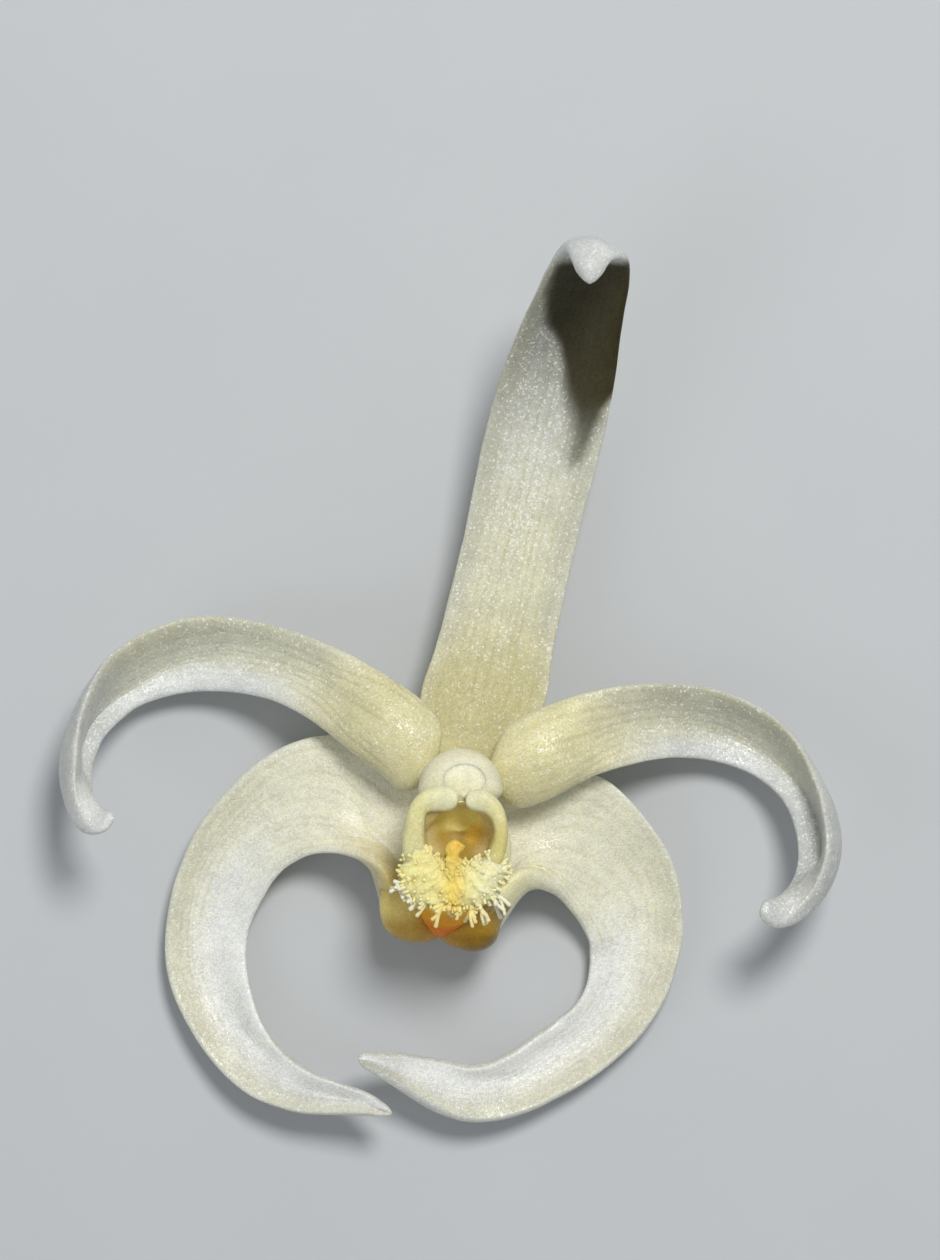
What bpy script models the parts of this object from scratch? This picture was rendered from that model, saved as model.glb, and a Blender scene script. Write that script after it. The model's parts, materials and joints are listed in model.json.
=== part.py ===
"""A dendrobium orchid flower, picked, lying on its back with its face up.

Metres, +Z up.  The flower rests on z = 0 on the backs of its two lateral sepals and on its
pedicel.  Lengths below are written in millimetres of the flower's own layout, whose origin is
beside the column; FLOWER_SHIFT carries that layout to the origin of the part.
"""
import bpy
import bmesh
import numpy as np
from math import radians
from mathutils import Matrix, Vector

MM = 0.001
FLOWER_SHIFT = (-0.11, 0.597, 0.014)    # mm, puts the middle of the footprint at the origin

TEPAL_THICKNESS = 1.25              # mm, the fleshy middle of a sepal or petal
FRONT_SHARE = 0.4                   # share of the thickness that lies on the face side
TEPAL_STATIONS = 34                 # rings along a sepal or petal
TEPAL_SIDES = 16                    # points around one ring
TEPAL_MARGIN = 2.6                  # power of the cross-section: higher is blunter at the margin

LIP_WALL = 1.05                     # mm
LIP_STATIONS = 20
LIP_SIDES = 36
LIP_MARGIN = 8.0
LIP_FRONT_SHARE = 0.5

FOOT_HALF_WIDTHS = [0.85, 0.85, 0.85, 0.8, 0.65, 0.5]   # mm, along FOOT_PATH
FOOT_HALF_DEPTH = 0.55
ANTHER_CLEARANCE = 0.15             # mm, between the anther cap and its seat

# How finely the round shapes are divided: rings along them and points around them.
COLUMN_STATIONS, COLUMN_SIDES = 26, 20
FOOT_STATIONS, FOOT_SIDES = 16, 12
CALLUS_STATIONS, CALLUS_SIDES = 8, 12
PEDICEL_STATIONS, PEDICEL_SIDES = 26, 14

# Each net is a list of stations from base to tip.  A station has the blade's middle surface at
# points from one margin to the other, in mm.
DORSAL_SEPAL = [
    [(-1.6, -3.6, 5.9), (1.4, -3.7, 5.0), (4.6, -3.7, 5.8)],
    [(-1.9, -1.6, 5.8), (2.0, -1.7, 4.5), (5.9, -1.9, 5.6)],
    [(-1.1, 1.4, 5.5), (2.7, 1.1, 4.3), (6.5, 1.2, 5.4)],
    [(-0.3, 4.2, 5.2), (3.4, 4.1, 4.2), (7.1, 4.1, 5.1)],
    [(1.0, 9.5, 5.4), (4.6, 9.4, 4.3), (8.3, 9.5, 5.3)],
    [(2.1, 14.9, 6.4), (5.8, 14.8, 5.2), (9.7, 14.9, 6.3)],
    [(3.4, 19.5, 8.4), (7.0, 19.6, 7.2), (10.6, 19.9, 8.4)],
    [(4.9, 23.0, 11.0), (8.0, 23.4, 9.8), (10.9, 22.7, 11.0)],
    [(6.1, 25.3, 13.8), (8.7, 26.0, 12.8), (11.2, 25.4, 14.0)],
    [(7.0, 26.5, 16.2), (8.7, 26.7, 15.8), (10.6, 26.0, 16.8)],
    [(7.6, 25.6, 18.0), (8.6, 25.7, 18.6), (9.7, 25.4, 18.2)],
    [(8.2, 24.4, 18.4), (8.6, 24.2, 18.8), (9.0, 24.3, 18.4)],
]
PETAL_LEFT = [
    [(-0.4, -4.3, 7.8), (-1.3, -5.9, 7.1), (-1.7, -7.3, 7.4)],
    [(-1.8, -1.7, 7.4), (-3.2, -3.6, 6.8), (-4.7, -5.5, 7.2)],
    [(-6.3, 1.5, 6.5), (-7.3, -0.7, 5.5), (-8.8, -2.7, 6.1)],
    [(-11.5, 3.4, 4.9), (-12.1, 1.3, 3.3), (-12.7, -1.1, 3.8)],
    [(-16.3, 3.9, 4.4), (-16.6, 1.5, 2.0), (-16.8, -0.9, 2.6)],
    [(-20.3, 2.5, 5.2), (-20.3, 0.1, 2.4), (-20.0, -1.8, 2.8)],
    [(-22.5, 0.1, 7.2), (-23.0, -2.0, 3.8), (-21.4, -2.9, 4.0)],
    [(-23.5, -3.2, 8.4), (-24.1, -4.2, 5.4), (-22.4, -4.3, 5.2)],
    [(-23.7, -6.1, 8.8), (-24.2, -6.6, 6.4), (-22.8, -6.3, 6.6)],
    [(-23.2, -8.3, 9.2), (-23.4, -8.9, 7.8), (-22.4, -7.6, 8.0)],
    [(-22.1, -9.5, 9.9), (-22.3, -9.3, 9.1), (-21.7, -8.2, 9.3)],
    [(-21.3, -9.2, 10.2), (-21.1, -8.8, 10.1), (-21.1, -8.3, 10.2)],
]
PETAL_RIGHT = [
    [(2.7, -4.5, 7.8), (2.9, -6.2, 7.1), (3.3, -8.3, 7.3)],
    [(5.1, -2.4, 7.4), (5.5, -5.2, 6.8), (6.3, -7.5, 7.2)],
    [(9.6, -0.7, 6.3), (10.1, -3.4, 5.2), (10.7, -5.7, 6.0)],
    [(14.1, -0.4, 5.0), (14.3, -2.8, 3.3), (14.3, -5.1, 3.9)],
    [(18.3, -1.2, 4.4), (18.0, -3.4, 2.0), (17.3, -5.4, 2.6)],
    [(21.6, -3.4, 5.2), (21.0, -5.0, 2.4), (19.7, -6.3, 2.8)],
    [(23.1, -6.2, 6.8), (23.0, -7.1, 3.6), (21.3, -7.7, 3.8)],
    [(23.8, -9.3, 8.4), (24.1, -9.8, 5.2), (22.2, -10.0, 5.0)],
    [(23.5, -12.1, 8.8), (23.8, -12.4, 6.2), (22.1, -12.2, 6.4)],
    [(22.1, -14.2, 9.0), (22.3, -14.4, 7.4), (21.2, -13.5, 7.8)],
    [(20.6, -15.3, 9.6), (20.5, -15.0, 9.0), (20.3, -13.9, 9.4)],
    [(19.8, -15.0, 10.1), (19.6, -14.6, 10.0), (19.7, -14.0, 10.1)],
]
LATERAL_LEFT = [
    [(-0.6, -7.7, 5.0), (-1.1, -11.6, 2.6), (-1.7, -15.8, 2.9), (-1.4, -16.3, 6.2)],
    [(-1.9, -6.2, 5.0), (-2.9, -11.1, 2.5), (-3.2, -16.5, 3.6), (-2.6, -15.2, 7.7)],
    [(-4.1, -4.7, 4.7), (-4.7, -9.4, 3.3), (-3.9, -14.7, 4.5), (-3.6, -13.3, 7.7)],
    [(-5.4, -4.1, 4.5), (-5.6, -8.3, 3.3), (-4.7, -12.0, 4.3), (-4.4, -12.0, 7.2)],
    [(-7.0, -3.7, 4.3), (-6.9, -7.2, 3.3), (-6.2, -10.5, 3.8), (-5.8, -11.3, 5.9)],
    [(-10.7, -4.4, 3.9), (-10.3, -6.9, 2.8), (-9.6, -9.9, 2.7), (-9.2, -11.4, 3.8)],
    [(-14.9, -7.9, 3.0), (-14.1, -9.6, 1.6), (-13.0, -11.8, 1.4), (-11.8, -13.7, 2.4)],
    [(-17.5, -12.4, 2.2), (-16.4, -13.4, 0.85), (-14.5, -14.9, 0.75), (-12.9, -15.9, 1.6)],
    [(-18.4, -17.3, 2.0), (-17.0, -17.6, 0.75), (-15.0, -17.9, 0.65), (-13.2, -18.1, 1.8)],
    [(-17.4, -21.3, 2.4), (-16.1, -21.4, 1.0), (-14.0, -21.4, 1.0), (-12.5, -21.5, 2.6)],
    [(-14.3, -25.7, 3.0), (-13.5, -25.1, 1.6), (-11.8, -24.3, 1.8), (-10.5, -24.4, 3.8)],
    [(-10.3, -27.7, 3.8), (-9.9, -27.1, 2.4), (-9.0, -26.2, 2.6), (-7.8, -25.8, 4.8)],
    [(-6.4, -27.8, 4.8), (-6.2, -27.6, 3.8), (-5.6, -27.1, 3.8), (-5.1, -26.8, 5.2)],
    [(-3.7, -27.9, 5.6), (-3.7, -27.8, 5.4), (-3.7, -27.8, 5.4), (-3.7, -27.7, 5.6)],
]
LATERAL_RIGHT = [
    [(1.8, -8.0, 5.0), (1.7, -11.7, 2.6), (0.7, -16.2, 2.9), (0.3, -16.5, 6.2)],
    [(3.0, -7.0, 5.0), (2.6, -11.7, 2.5), (1.9, -16.9, 3.6), (1.5, -15.7, 7.7)],
    [(4.6, -6.3, 4.7), (4.2, -10.7, 3.3), (2.8, -15.7, 4.4), (2.6, -14.4, 7.7)],
    [(7.1, -6.0, 4.5), (6.2, -9.6, 3.4), (4.8, -12.9, 4.6), (4.6, -12.3, 7.0)],
    [(9.9, -6.5, 4.1), (8.9, -9.6, 3.0), (7.5, -13.0, 3.2), (6.8, -13.4, 4.6)],
    [(12.5, -9.0, 3.6), (11.2, -11.4, 2.0), (9.2, -14.6, 2.0), (8.2, -15.2, 3.0)],
    [(14.4, -12.1, 2.8), (12.7, -13.8, 1.2), (10.3, -16.1, 1.3), (9.0, -16.9, 2.1)],
    [(15.0, -16.3, 2.2), (13.1, -17.0, 0.93), (10.7, -18.0, 0.93), (9.1, -18.7, 1.8)],
    [(13.5, -21.3, 2.1), (11.9, -21.3, 0.93), (9.8, -21.2, 0.93), (8.2, -21.1, 1.9)],
    [(9.7, -25.3, 2.4), (8.4, -24.7, 1.2), (6.6, -23.8, 1.2), (5.3, -23.4, 2.4)],
    [(5.2, -27.7, 3.0), (4.4, -27.0, 1.8), (3.1, -25.8, 1.8), (2.0, -25.1, 3.4)],
    [(0.5, -28.1, 3.8), (-0.1, -27.3, 2.6), (-1.0, -25.7, 2.8), (-1.7, -24.5, 4.4)],
    [(-3.5, -25.7, 4.8), (-3.7, -25.4, 4.2), (-3.9, -24.7, 4.2), (-3.9, -24.2, 5.4)],
    [(-5.8, -24.4, 6.0), (-5.8, -24.3, 5.9), (-5.8, -24.2, 5.9), (-5.8, -24.1, 6.1)],
]

# The lip's trough, from its claw on the tip of the column foot up to its mouth: the middle of
# each arc, its half width and depth, the half angle it wraps through, and its wall's share.
LIP_ARCS = [
    ((-0.6, -16.2, 6.5), 0.8, 0.1, 45, 0.7),
    ((-0.5, -15.6, 7.2), 1.1, 0.35, 55, 0.8),
    ((0.0, -13.7, 8.4), 1.8, 1.4, 82, 0.85),
    ((0.4, -11.4, 9.7), 2.65, 2.35, 98, 0.9),
    ((0.5, -10.2, 10.9), 2.8, 2.35, 112, 1.0),
    ((0.5, -9.85, 11.7), 2.75, 2.4, 130, 1.0),
    ((0.45, -9.65, 12.2), 2.7, 2.4, 152, 1.15),
    ((0.4, -9.6, 12.7), 2.65, 2.45, 163, 1.2),
]
MIDLOBE = dict(centre=(0.6, -12.9, 12.0), half=(3.2, 1.5, 0.95), segments=28, rings=14)
CALLUS_PATH = [(0.2, -13.3, 12.7), (0.3, -12.2, 12.9), (0.4, -10.8, 12.6)]
CALLUS_RADII = [0.55, 0.4, 0.5]

# The column: height, centre and half widths of each level, then the path of its foot.
COLUMN_LEVELS = [
    (3.45, 0.9, -6.0, 1.3, 1.3),
    (3.9, 0.9, -6.0, 1.6, 1.6),
    (5.5, 0.85, -6.1, 1.7, 1.7),
    (7.2, 0.85, -6.2, 1.7, 1.65),
    (8.3, 0.85, -6.4, 1.85, 1.75),
    (9.2, 0.8, -6.7, 2.4, 2.1),
    (10.1, 0.8, -6.8, 2.55, 2.2),
    (10.8, 0.8, -6.8, 2.25, 1.95),
    (11.3, 0.8, -6.75, 1.6, 1.4),
    (11.6, 0.85, -6.7, 0.5, 0.45),
]
FOOT_PATH = [(0.8, -6.6, 5.0), (0.55, -9.0, 3.7), (0.2, -12.0, 3.0), (-0.3, -14.6, 3.2),
             (-0.6, -16.0, 4.4), (-0.6, -16.4, 5.9)]
STIGMA = dict(centre=(0.7, -8.8, 9.7), half=(0.95, 0.75, 1.0), segments=16, rings=10)
ANTHER = dict(centre=(0.95, -6.5, 10.9), half=(1.4, 1.05, 1.1), segments=20, rings=10)
ANTHER_POCKET = dict(centre=(0.95, -6.5, 10.5), half=(1.1, 0.75, 0.75), segments=20, rings=10)
POLLINIUM = dict(half=(0.24, 0.5, 0.3), segments=12, rings=8)
POLLINIUM_OFFSETS = (0.33, 0.67)    # mm, from the cap's middle to the pair in one half of it

# The ovary under the column, and the pedicel that lies along the surface.
PEDICEL_PATH = [(0.9, -6.6, 1.7), (1.0, -5.0, 1.65), (1.3, -1.5, 1.35), (2.0, 3.0, 0.95),
                (3.4, 8.5, 0.8), (5.0, 14.0, 0.75), (6.2, 18.0, 0.85), (6.6, 19.4, 1.0)]
PEDICEL_RADII = [1.1, 1.45, 1.3, 0.85, 0.75, 0.75, 0.85, 1.0]

CREAM = (0.80, 0.79, 0.58, 1.0)
WHITE_CREAM = (0.84, 0.82, 0.66, 1.0)
LEMON = (0.86, 0.78, 0.36, 1.0)
WAX_YELLOW = (0.80, 0.60, 0.16, 1.0)
GREEN_CREAM = (0.62, 0.66, 0.34, 1.0)


def clear_scene():
    for old in list(bpy.data.objects):
        bpy.data.objects.remove(old, do_unlink=True)


def material(name, colour, roughness):
    made = bpy.data.materials.new(name)
    made.use_nodes = True
    shader = made.node_tree.nodes["Principled BSDF"]
    shader.inputs["Base Color"].default_value = colour
    shader.inputs["Roughness"].default_value = roughness
    shader.inputs["Metallic"].default_value = 0.0
    return made


def place(point):
    """A point of the flower's layout in mm, as a point of the part in metres."""
    return (np.asarray(point, float) + np.array(FLOWER_SHIFT)) * MM


def natural_spline(knots, values, wanted):
    """Reads the natural cubic spline through values (one row per knot) at wanted."""
    knots = np.asarray(knots, float)
    values = np.asarray(values, float)
    count = len(knots)
    step = np.diff(knots)
    system = np.eye(count)
    right = np.zeros_like(values)
    slope = np.diff(values, axis=0) / step[:, None]
    for i in range(1, count - 1):
        system[i, i - 1] = step[i - 1]
        system[i, i] = 2.0 * (step[i - 1] + step[i])
        system[i, i + 1] = step[i]
        right[i] = 6.0 * (slope[i] - slope[i - 1])
    bend = np.linalg.solve(system, right)
    wanted = np.asarray(wanted, float)
    cell = np.clip(np.searchsorted(knots, wanted) - 1, 0, count - 2)
    width = step[cell][:, None]
    before = (wanted - knots[cell])[:, None]
    after = width - before
    cubic = (bend[cell] * after ** 3 + bend[cell + 1] * before ** 3) / (6.0 * width)
    straight_before = (values[cell] / width - bend[cell] * width / 6.0) * after
    straight_after = (values[cell + 1] / width - bend[cell + 1] * width / 6.0) * before
    return cubic + straight_before + straight_after


def chord_knots(points):
    """Distances along a row of points, from 0 to 1."""
    steps = np.linalg.norm(np.diff(points, axis=0), axis=1)
    return np.concatenate([[0.0], np.cumsum(steps)]) / steps.sum()


def surface_points(net, along, across):
    """Reads the smooth surface through a net at every along (0..1) and across (-1..1)."""
    net = np.asarray(net, float)
    rows, columns = net.shape[:2]
    lengthwise = natural_spline(chord_knots(net.mean(axis=1)), net.reshape(rows, -1), along)
    crosswise = lengthwise.reshape(len(along), columns, 3).transpose(1, 0, 2)
    read = natural_spline(np.linspace(-1.0, 1.0, columns), crosswise.reshape(columns, -1), across)
    return read.reshape(len(across), len(along), 3).transpose(1, 0, 2)


def surface_normals(points):
    """Unit normals of a grid of points, on the side where along x across points away."""
    lengthwise = np.gradient(points, axis=0)
    crosswise = np.gradient(points, axis=1)
    normal = np.cross(crosswise, lengthwise)
    return normal / np.linalg.norm(normal, axis=2, keepdims=True)


def thick_sheet(net, stations, sides, thickness, margin_power, front_share=FRONT_SHARE):
    """Rings around a sheet that follows the net; thickness is a function of along."""
    along = np.linspace(0.0, 1.0, stations)
    half = sides // 2
    across = -np.cos(np.linspace(0.0, np.pi, half + 1))
    middle = surface_points(net, along, across)
    normal = surface_normals(middle)
    profile = np.sqrt(np.clip(1.0 - np.abs(across) ** margin_power, 0.0, None))
    depth = np.array([thickness(a) for a in along])[:, None] * profile[None, :]
    front = middle + normal * (front_share * depth)[:, :, None]
    back = middle - normal * ((1.0 - front_share) * depth)[:, :, None]
    return [np.concatenate([f, b[-2:0:-1]]) for f, b in zip(front, back)]


def rounded_end(share_left, blunt=0.12):
    """How full a shape is near its end: 1 further in, falling round to a third at the end."""
    return 0.4 + 0.6 * min(1.0, share_left / blunt) ** 0.5


def cap_end(work, ring):
    """Closes one end of a loft with a strip from one side of the ring to the other."""
    count = len(ring)
    for i in range(count // 2):
        corners = [ring[i], ring[i + 1], ring[(count - i - 1) % count], ring[(count - i) % count]]
        work.faces.new(list(dict.fromkeys(corners)))


def loft(name, rings):
    """A closed mesh through rings of equal length."""
    mesh = bpy.data.meshes.new(name)
    work = bmesh.new()
    made = [[work.verts.new(place(p)) for p in ring] for ring in rings]
    count = len(made[0])
    for lower, upper in zip(made, made[1:]):
        for i in range(count):
            j = (i + 1) % count
            work.faces.new((lower[i], lower[j], upper[j], upper[i]))
    cap_end(work, made[0])
    cap_end(work, made[-1])
    bmesh.ops.recalc_face_normals(work, faces=work.faces)
    work.to_mesh(mesh)
    work.free()
    mesh.shade_smooth()
    made_object = bpy.data.objects.new(name, mesh)
    bpy.context.collection.objects.link(made_object)
    return made_object


def ellipsoid(name, centre, half, segments, rings, grow=0.0):
    """A closed ellipsoid; grow widens it by that many mm all round."""
    mesh = bpy.data.meshes.new(name)
    work = bmesh.new()
    size = [(h + grow) * MM for h in half]
    move = Matrix.Translation(Vector(place(centre)))
    bmesh.ops.create_uvsphere(work, u_segments=segments, v_segments=rings, radius=1.0,
                              matrix=move @ Matrix.Diagonal((*size, 1.0)))
    work.to_mesh(mesh)
    work.free()
    mesh.shade_smooth()
    made_object = bpy.data.objects.new(name, mesh)
    bpy.context.collection.objects.link(made_object)
    return made_object


def tube_rings(path, half_widths, half_depths, stations, sides, side_axis=(1.0, 0.0, 0.0)):
    """Oval rings along a smooth path, their wide way along side_axis as near as it can be."""
    path = np.asarray(path, float)
    knots = chord_knots(path)
    along = np.linspace(0.0, 1.0, stations)
    sizes = np.stack([half_widths, half_depths], axis=1)
    centre = natural_spline(knots, path, along)
    size = natural_spline(knots, sizes, along)
    forward = np.gradient(centre, axis=0)
    rings = []
    for c, f, (w, d) in zip(centre, forward, size):
        f = f / np.linalg.norm(f)
        wide = np.asarray(side_axis) - f * np.dot(side_axis, f)
        wide = wide / np.linalg.norm(wide)
        deep = np.cross(f, wide)
        turn = np.linspace(0.0, 2.0 * np.pi, sides, endpoint=False)
        rings.append([c + wide * w * np.cos(t) + deep * d * np.sin(t) for t in turn])
    return rings


def boolean(target, tool, operation):
    """Joins or cuts target with tool, which stays in the file as a hidden guide."""
    change = target.modifiers.new(operation.lower() + "_" + tool.name, "BOOLEAN")
    change.operation = operation
    change.solver = "EXACT"
    change.object = tool
    tool.hide_render = True
    tool.display_type = "WIRE"


def tepal(name, net):
    """One fleshy sepal or petal: a sheet of even thickness that thins at its tip."""
    def thickness(along):
        return TEPAL_THICKNESS * rounded_end(1.0 - along)
    rings = thick_sheet(net, TEPAL_STATIONS, TEPAL_SIDES, thickness, TEPAL_MARGIN)
    made = loft(name, rings)
    made.data.materials.append(material(name, CREAM, 0.45))
    return made


def lip_net(columns=13):
    """The trough's arcs as a net, from the left margin round under the mouth to the right."""
    net = []
    for centre, half_width, depth, half_angle, _ in LIP_ARCS:
        turn = radians(half_angle) * np.linspace(-1.0, 1.0, columns)
        net.append([(centre[0] + half_width * np.sin(t), centre[1] - depth * np.cos(t), centre[2])
                    for t in turn])
    return net


def lip():
    """The labellum: trough, fleshy midlobe and the callus that ends in a knob."""
    centres = np.array([arc[0] for arc in LIP_ARCS])
    shares = np.array([[arc[4]] for arc in LIP_ARCS])
    knots = chord_knots(centres)

    def wall(along):
        share = natural_spline(knots, shares, [along])[0, 0]
        return LIP_WALL * share * rounded_end(1.0 - along, 0.05)
    rings = thick_sheet(lip_net(), LIP_STATIONS, LIP_SIDES, wall, LIP_MARGIN, LIP_FRONT_SHARE)
    trough = loft("lip", rings)
    midlobe = ellipsoid("midlobe_guide", **MIDLOBE)
    callus = loft("callus_guide", tube_rings(CALLUS_PATH, CALLUS_RADII, CALLUS_RADII,
                                             CALLUS_STATIONS, CALLUS_SIDES))
    boolean(trough, midlobe, "UNION")
    boolean(trough, callus, "UNION")
    trough.data.materials.append(material("lip", LEMON, 0.5))
    return trough


def column():
    """The column with its hood, its seat for the anther cap, its stigma and its foot."""
    levels = np.array(COLUMN_LEVELS)
    path = levels[:, [1, 2, 0]]
    rings = tube_rings(path, levels[:, 3], levels[:, 4], COLUMN_STATIONS, COLUMN_SIDES)
    made = loft("column", rings)
    depths = [FOOT_HALF_DEPTH] * len(FOOT_PATH)
    foot = loft("foot_guide", tube_rings(FOOT_PATH, FOOT_HALF_WIDTHS, depths,
                                         FOOT_STATIONS, FOOT_SIDES))
    seat = ellipsoid("seat_guide", **ANTHER, grow=ANTHER_CLEARANCE)
    stigma = ellipsoid("stigma_guide", **STIGMA)
    boolean(made, foot, "UNION")
    boolean(made, seat, "DIFFERENCE")
    boolean(made, stigma, "DIFFERENCE")
    made.data.materials.append(material("column", WHITE_CREAM, 0.4))
    return made


def anther_cap():
    """The cap on the column's tip, hollow below for the pollinia."""
    made = ellipsoid("anther_cap", **ANTHER)
    pocket = ellipsoid("pocket_guide", **ANTHER_POCKET)
    boolean(made, pocket, "DIFFERENCE")
    made.data.materials.append(material("anther_cap", WHITE_CREAM, 0.35))
    return made


def pollinia(name, side):
    """Two waxy pollen masses pressed together in one half of the cap."""
    x, y, z = ANTHER_POCKET["centre"]
    near, far = POLLINIUM_OFFSETS
    inner = ellipsoid(name, (x + near * side, y, z), **POLLINIUM)
    outer = ellipsoid(name + "_guide", (x + far * side, y, z), **POLLINIUM)
    boolean(inner, outer, "UNION")
    inner.data.materials.append(material(name, WAX_YELLOW, 0.3))
    return inner


def pedicel_ovary():
    """The ovary under the column and the pedicel, cut off where it was picked."""
    rings = tube_rings(PEDICEL_PATH, PEDICEL_RADII, PEDICEL_RADII,
                       PEDICEL_STATIONS, PEDICEL_SIDES)
    made = loft("pedicel_ovary", rings)
    made.data.materials.append(material("pedicel_ovary", GREEN_CREAM, 0.45))
    return made


clear_scene()
tepal("dorsal_sepal", DORSAL_SEPAL)
tepal("petal_left", PETAL_LEFT)
tepal("petal_right", PETAL_RIGHT)
tepal("lateral_sepal_left", LATERAL_LEFT)
tepal("lateral_sepal_right", LATERAL_RIGHT)
lip()
column()
anther_cap()
pollinia("pollinia_left", -1)
pollinia("pollinia_right", 1)
pedicel_ovary()
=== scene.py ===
"""The looks of a picked dendrobium orchid flower that lies on its back, face up.

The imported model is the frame.  Every shape below is written in millimetres of the flower's own
layout, the one that the solids were drawn in, and place() carries it to the frame in metres.
"""
import json
import bpy
import bmesh
import numpy as np
from math import radians
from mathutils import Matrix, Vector, noise

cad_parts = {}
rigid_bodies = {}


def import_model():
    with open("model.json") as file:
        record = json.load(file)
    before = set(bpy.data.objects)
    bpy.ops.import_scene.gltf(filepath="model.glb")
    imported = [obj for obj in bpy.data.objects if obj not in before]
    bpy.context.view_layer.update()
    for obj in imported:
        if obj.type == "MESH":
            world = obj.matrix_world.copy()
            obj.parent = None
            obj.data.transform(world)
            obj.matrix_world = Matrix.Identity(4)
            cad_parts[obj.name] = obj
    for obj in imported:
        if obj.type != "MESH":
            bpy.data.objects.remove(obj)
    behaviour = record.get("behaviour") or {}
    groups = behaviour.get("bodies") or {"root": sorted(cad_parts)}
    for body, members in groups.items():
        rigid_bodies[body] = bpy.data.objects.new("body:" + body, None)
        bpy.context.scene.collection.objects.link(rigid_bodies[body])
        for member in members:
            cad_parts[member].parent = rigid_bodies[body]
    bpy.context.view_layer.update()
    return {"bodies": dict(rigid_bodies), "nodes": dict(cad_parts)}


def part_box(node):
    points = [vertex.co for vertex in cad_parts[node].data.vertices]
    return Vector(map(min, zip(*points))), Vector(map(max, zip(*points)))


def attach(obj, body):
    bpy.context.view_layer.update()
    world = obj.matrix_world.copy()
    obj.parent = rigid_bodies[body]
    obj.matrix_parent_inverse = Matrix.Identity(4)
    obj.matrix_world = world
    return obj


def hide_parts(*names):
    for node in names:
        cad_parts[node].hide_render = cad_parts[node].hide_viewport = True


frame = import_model()

MM = 0.001
BODY = "root" if "root" in frame["bodies"] else sorted(frame["bodies"])[0]

# ---- The flower's layout, repeated from its solids ----

# Stations from base to tip, each with the blade's middle surface at points from one margin to the
# other, in mm.  Each base runs on a little under its neighbours, where the living tissue is one.
DORSAL_SEPAL = [
    [(-1.3, -5.4, 6.3), (1.0, -5.6, 5.9), (3.6, -5.5, 6.3)],
    [(-1.6, -3.6, 5.9), (1.4, -3.7, 5.0), (4.6, -3.7, 5.8)],
    [(-1.9, -1.6, 5.8), (2.0, -1.7, 4.5), (5.9, -1.9, 5.6)],
    [(-1.1, 1.4, 5.5), (2.7, 1.1, 4.3), (6.5, 1.2, 5.4)],
    [(-0.3, 4.2, 5.2), (3.4, 4.1, 4.2), (7.1, 4.1, 5.1)],
    [(1.0, 9.5, 5.4), (4.6, 9.4, 4.3), (8.3, 9.5, 5.3)],
    [(2.1, 14.9, 6.4), (5.8, 14.8, 5.2), (9.7, 14.9, 6.3)],
    [(3.4, 19.5, 8.4), (7.0, 19.6, 7.2), (10.6, 19.9, 8.4)],
    [(4.9, 23.0, 11.0), (8.0, 23.4, 9.8), (10.9, 22.7, 11.0)],
    [(6.1, 25.3, 13.8), (8.7, 26.0, 12.8), (11.2, 25.4, 14.0)],
    [(7.0, 26.5, 16.2), (8.7, 26.7, 15.8), (10.6, 26.0, 16.8)],
    [(7.6, 25.6, 18.0), (8.6, 25.7, 18.6), (9.7, 25.4, 18.2)],
    [(8.2, 24.4, 18.4), (8.6, 24.2, 18.8), (9.0, 24.3, 18.4)],
]
PETAL_LEFT = [
    [(0.0, -3.7, 7.0), (-1.05, -5.9, 7.2), (-2.3, -7.9, 6.7)],
    [(-1.6, -1.6, 6.9), (-3.1, -3.8, 7.7), (-4.6, -5.8, 6.8)],
    [(-4.3, 0.4, 6.6), (-5.4, -2.0, 7.0), (-6.9, -4.1, 6.3)],
    [(-6.3, 1.5, 6.5), (-7.3, -0.7, 5.5), (-8.8, -2.7, 6.1)],
    [(-11.5, 3.4, 4.9), (-12.1, 1.3, 3.3), (-12.7, -1.1, 3.8)],
    [(-16.3, 3.9, 4.4), (-16.6, 1.5, 2.0), (-16.8, -0.9, 2.6)],
    [(-20.3, 2.5, 5.2), (-20.3, 0.1, 2.4), (-20.0, -1.8, 2.8)],
    [(-22.5, 0.1, 7.2), (-23.0, -2.0, 3.8), (-21.4, -2.9, 4.0)],
    [(-23.5, -3.2, 8.4), (-24.1, -4.2, 5.4), (-22.4, -4.3, 5.2)],
    [(-23.7, -6.1, 8.8), (-24.2, -6.6, 6.4), (-22.8, -6.3, 6.6)],
    [(-23.2, -8.3, 9.2), (-23.4, -8.9, 7.8), (-22.4, -7.6, 8.0)],
    [(-22.1, -9.5, 9.9), (-22.3, -9.3, 9.1), (-21.7, -8.2, 9.3)],
    [(-21.3, -9.2, 10.2), (-21.1, -8.8, 10.1), (-21.1, -8.3, 10.2)],
]
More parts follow.
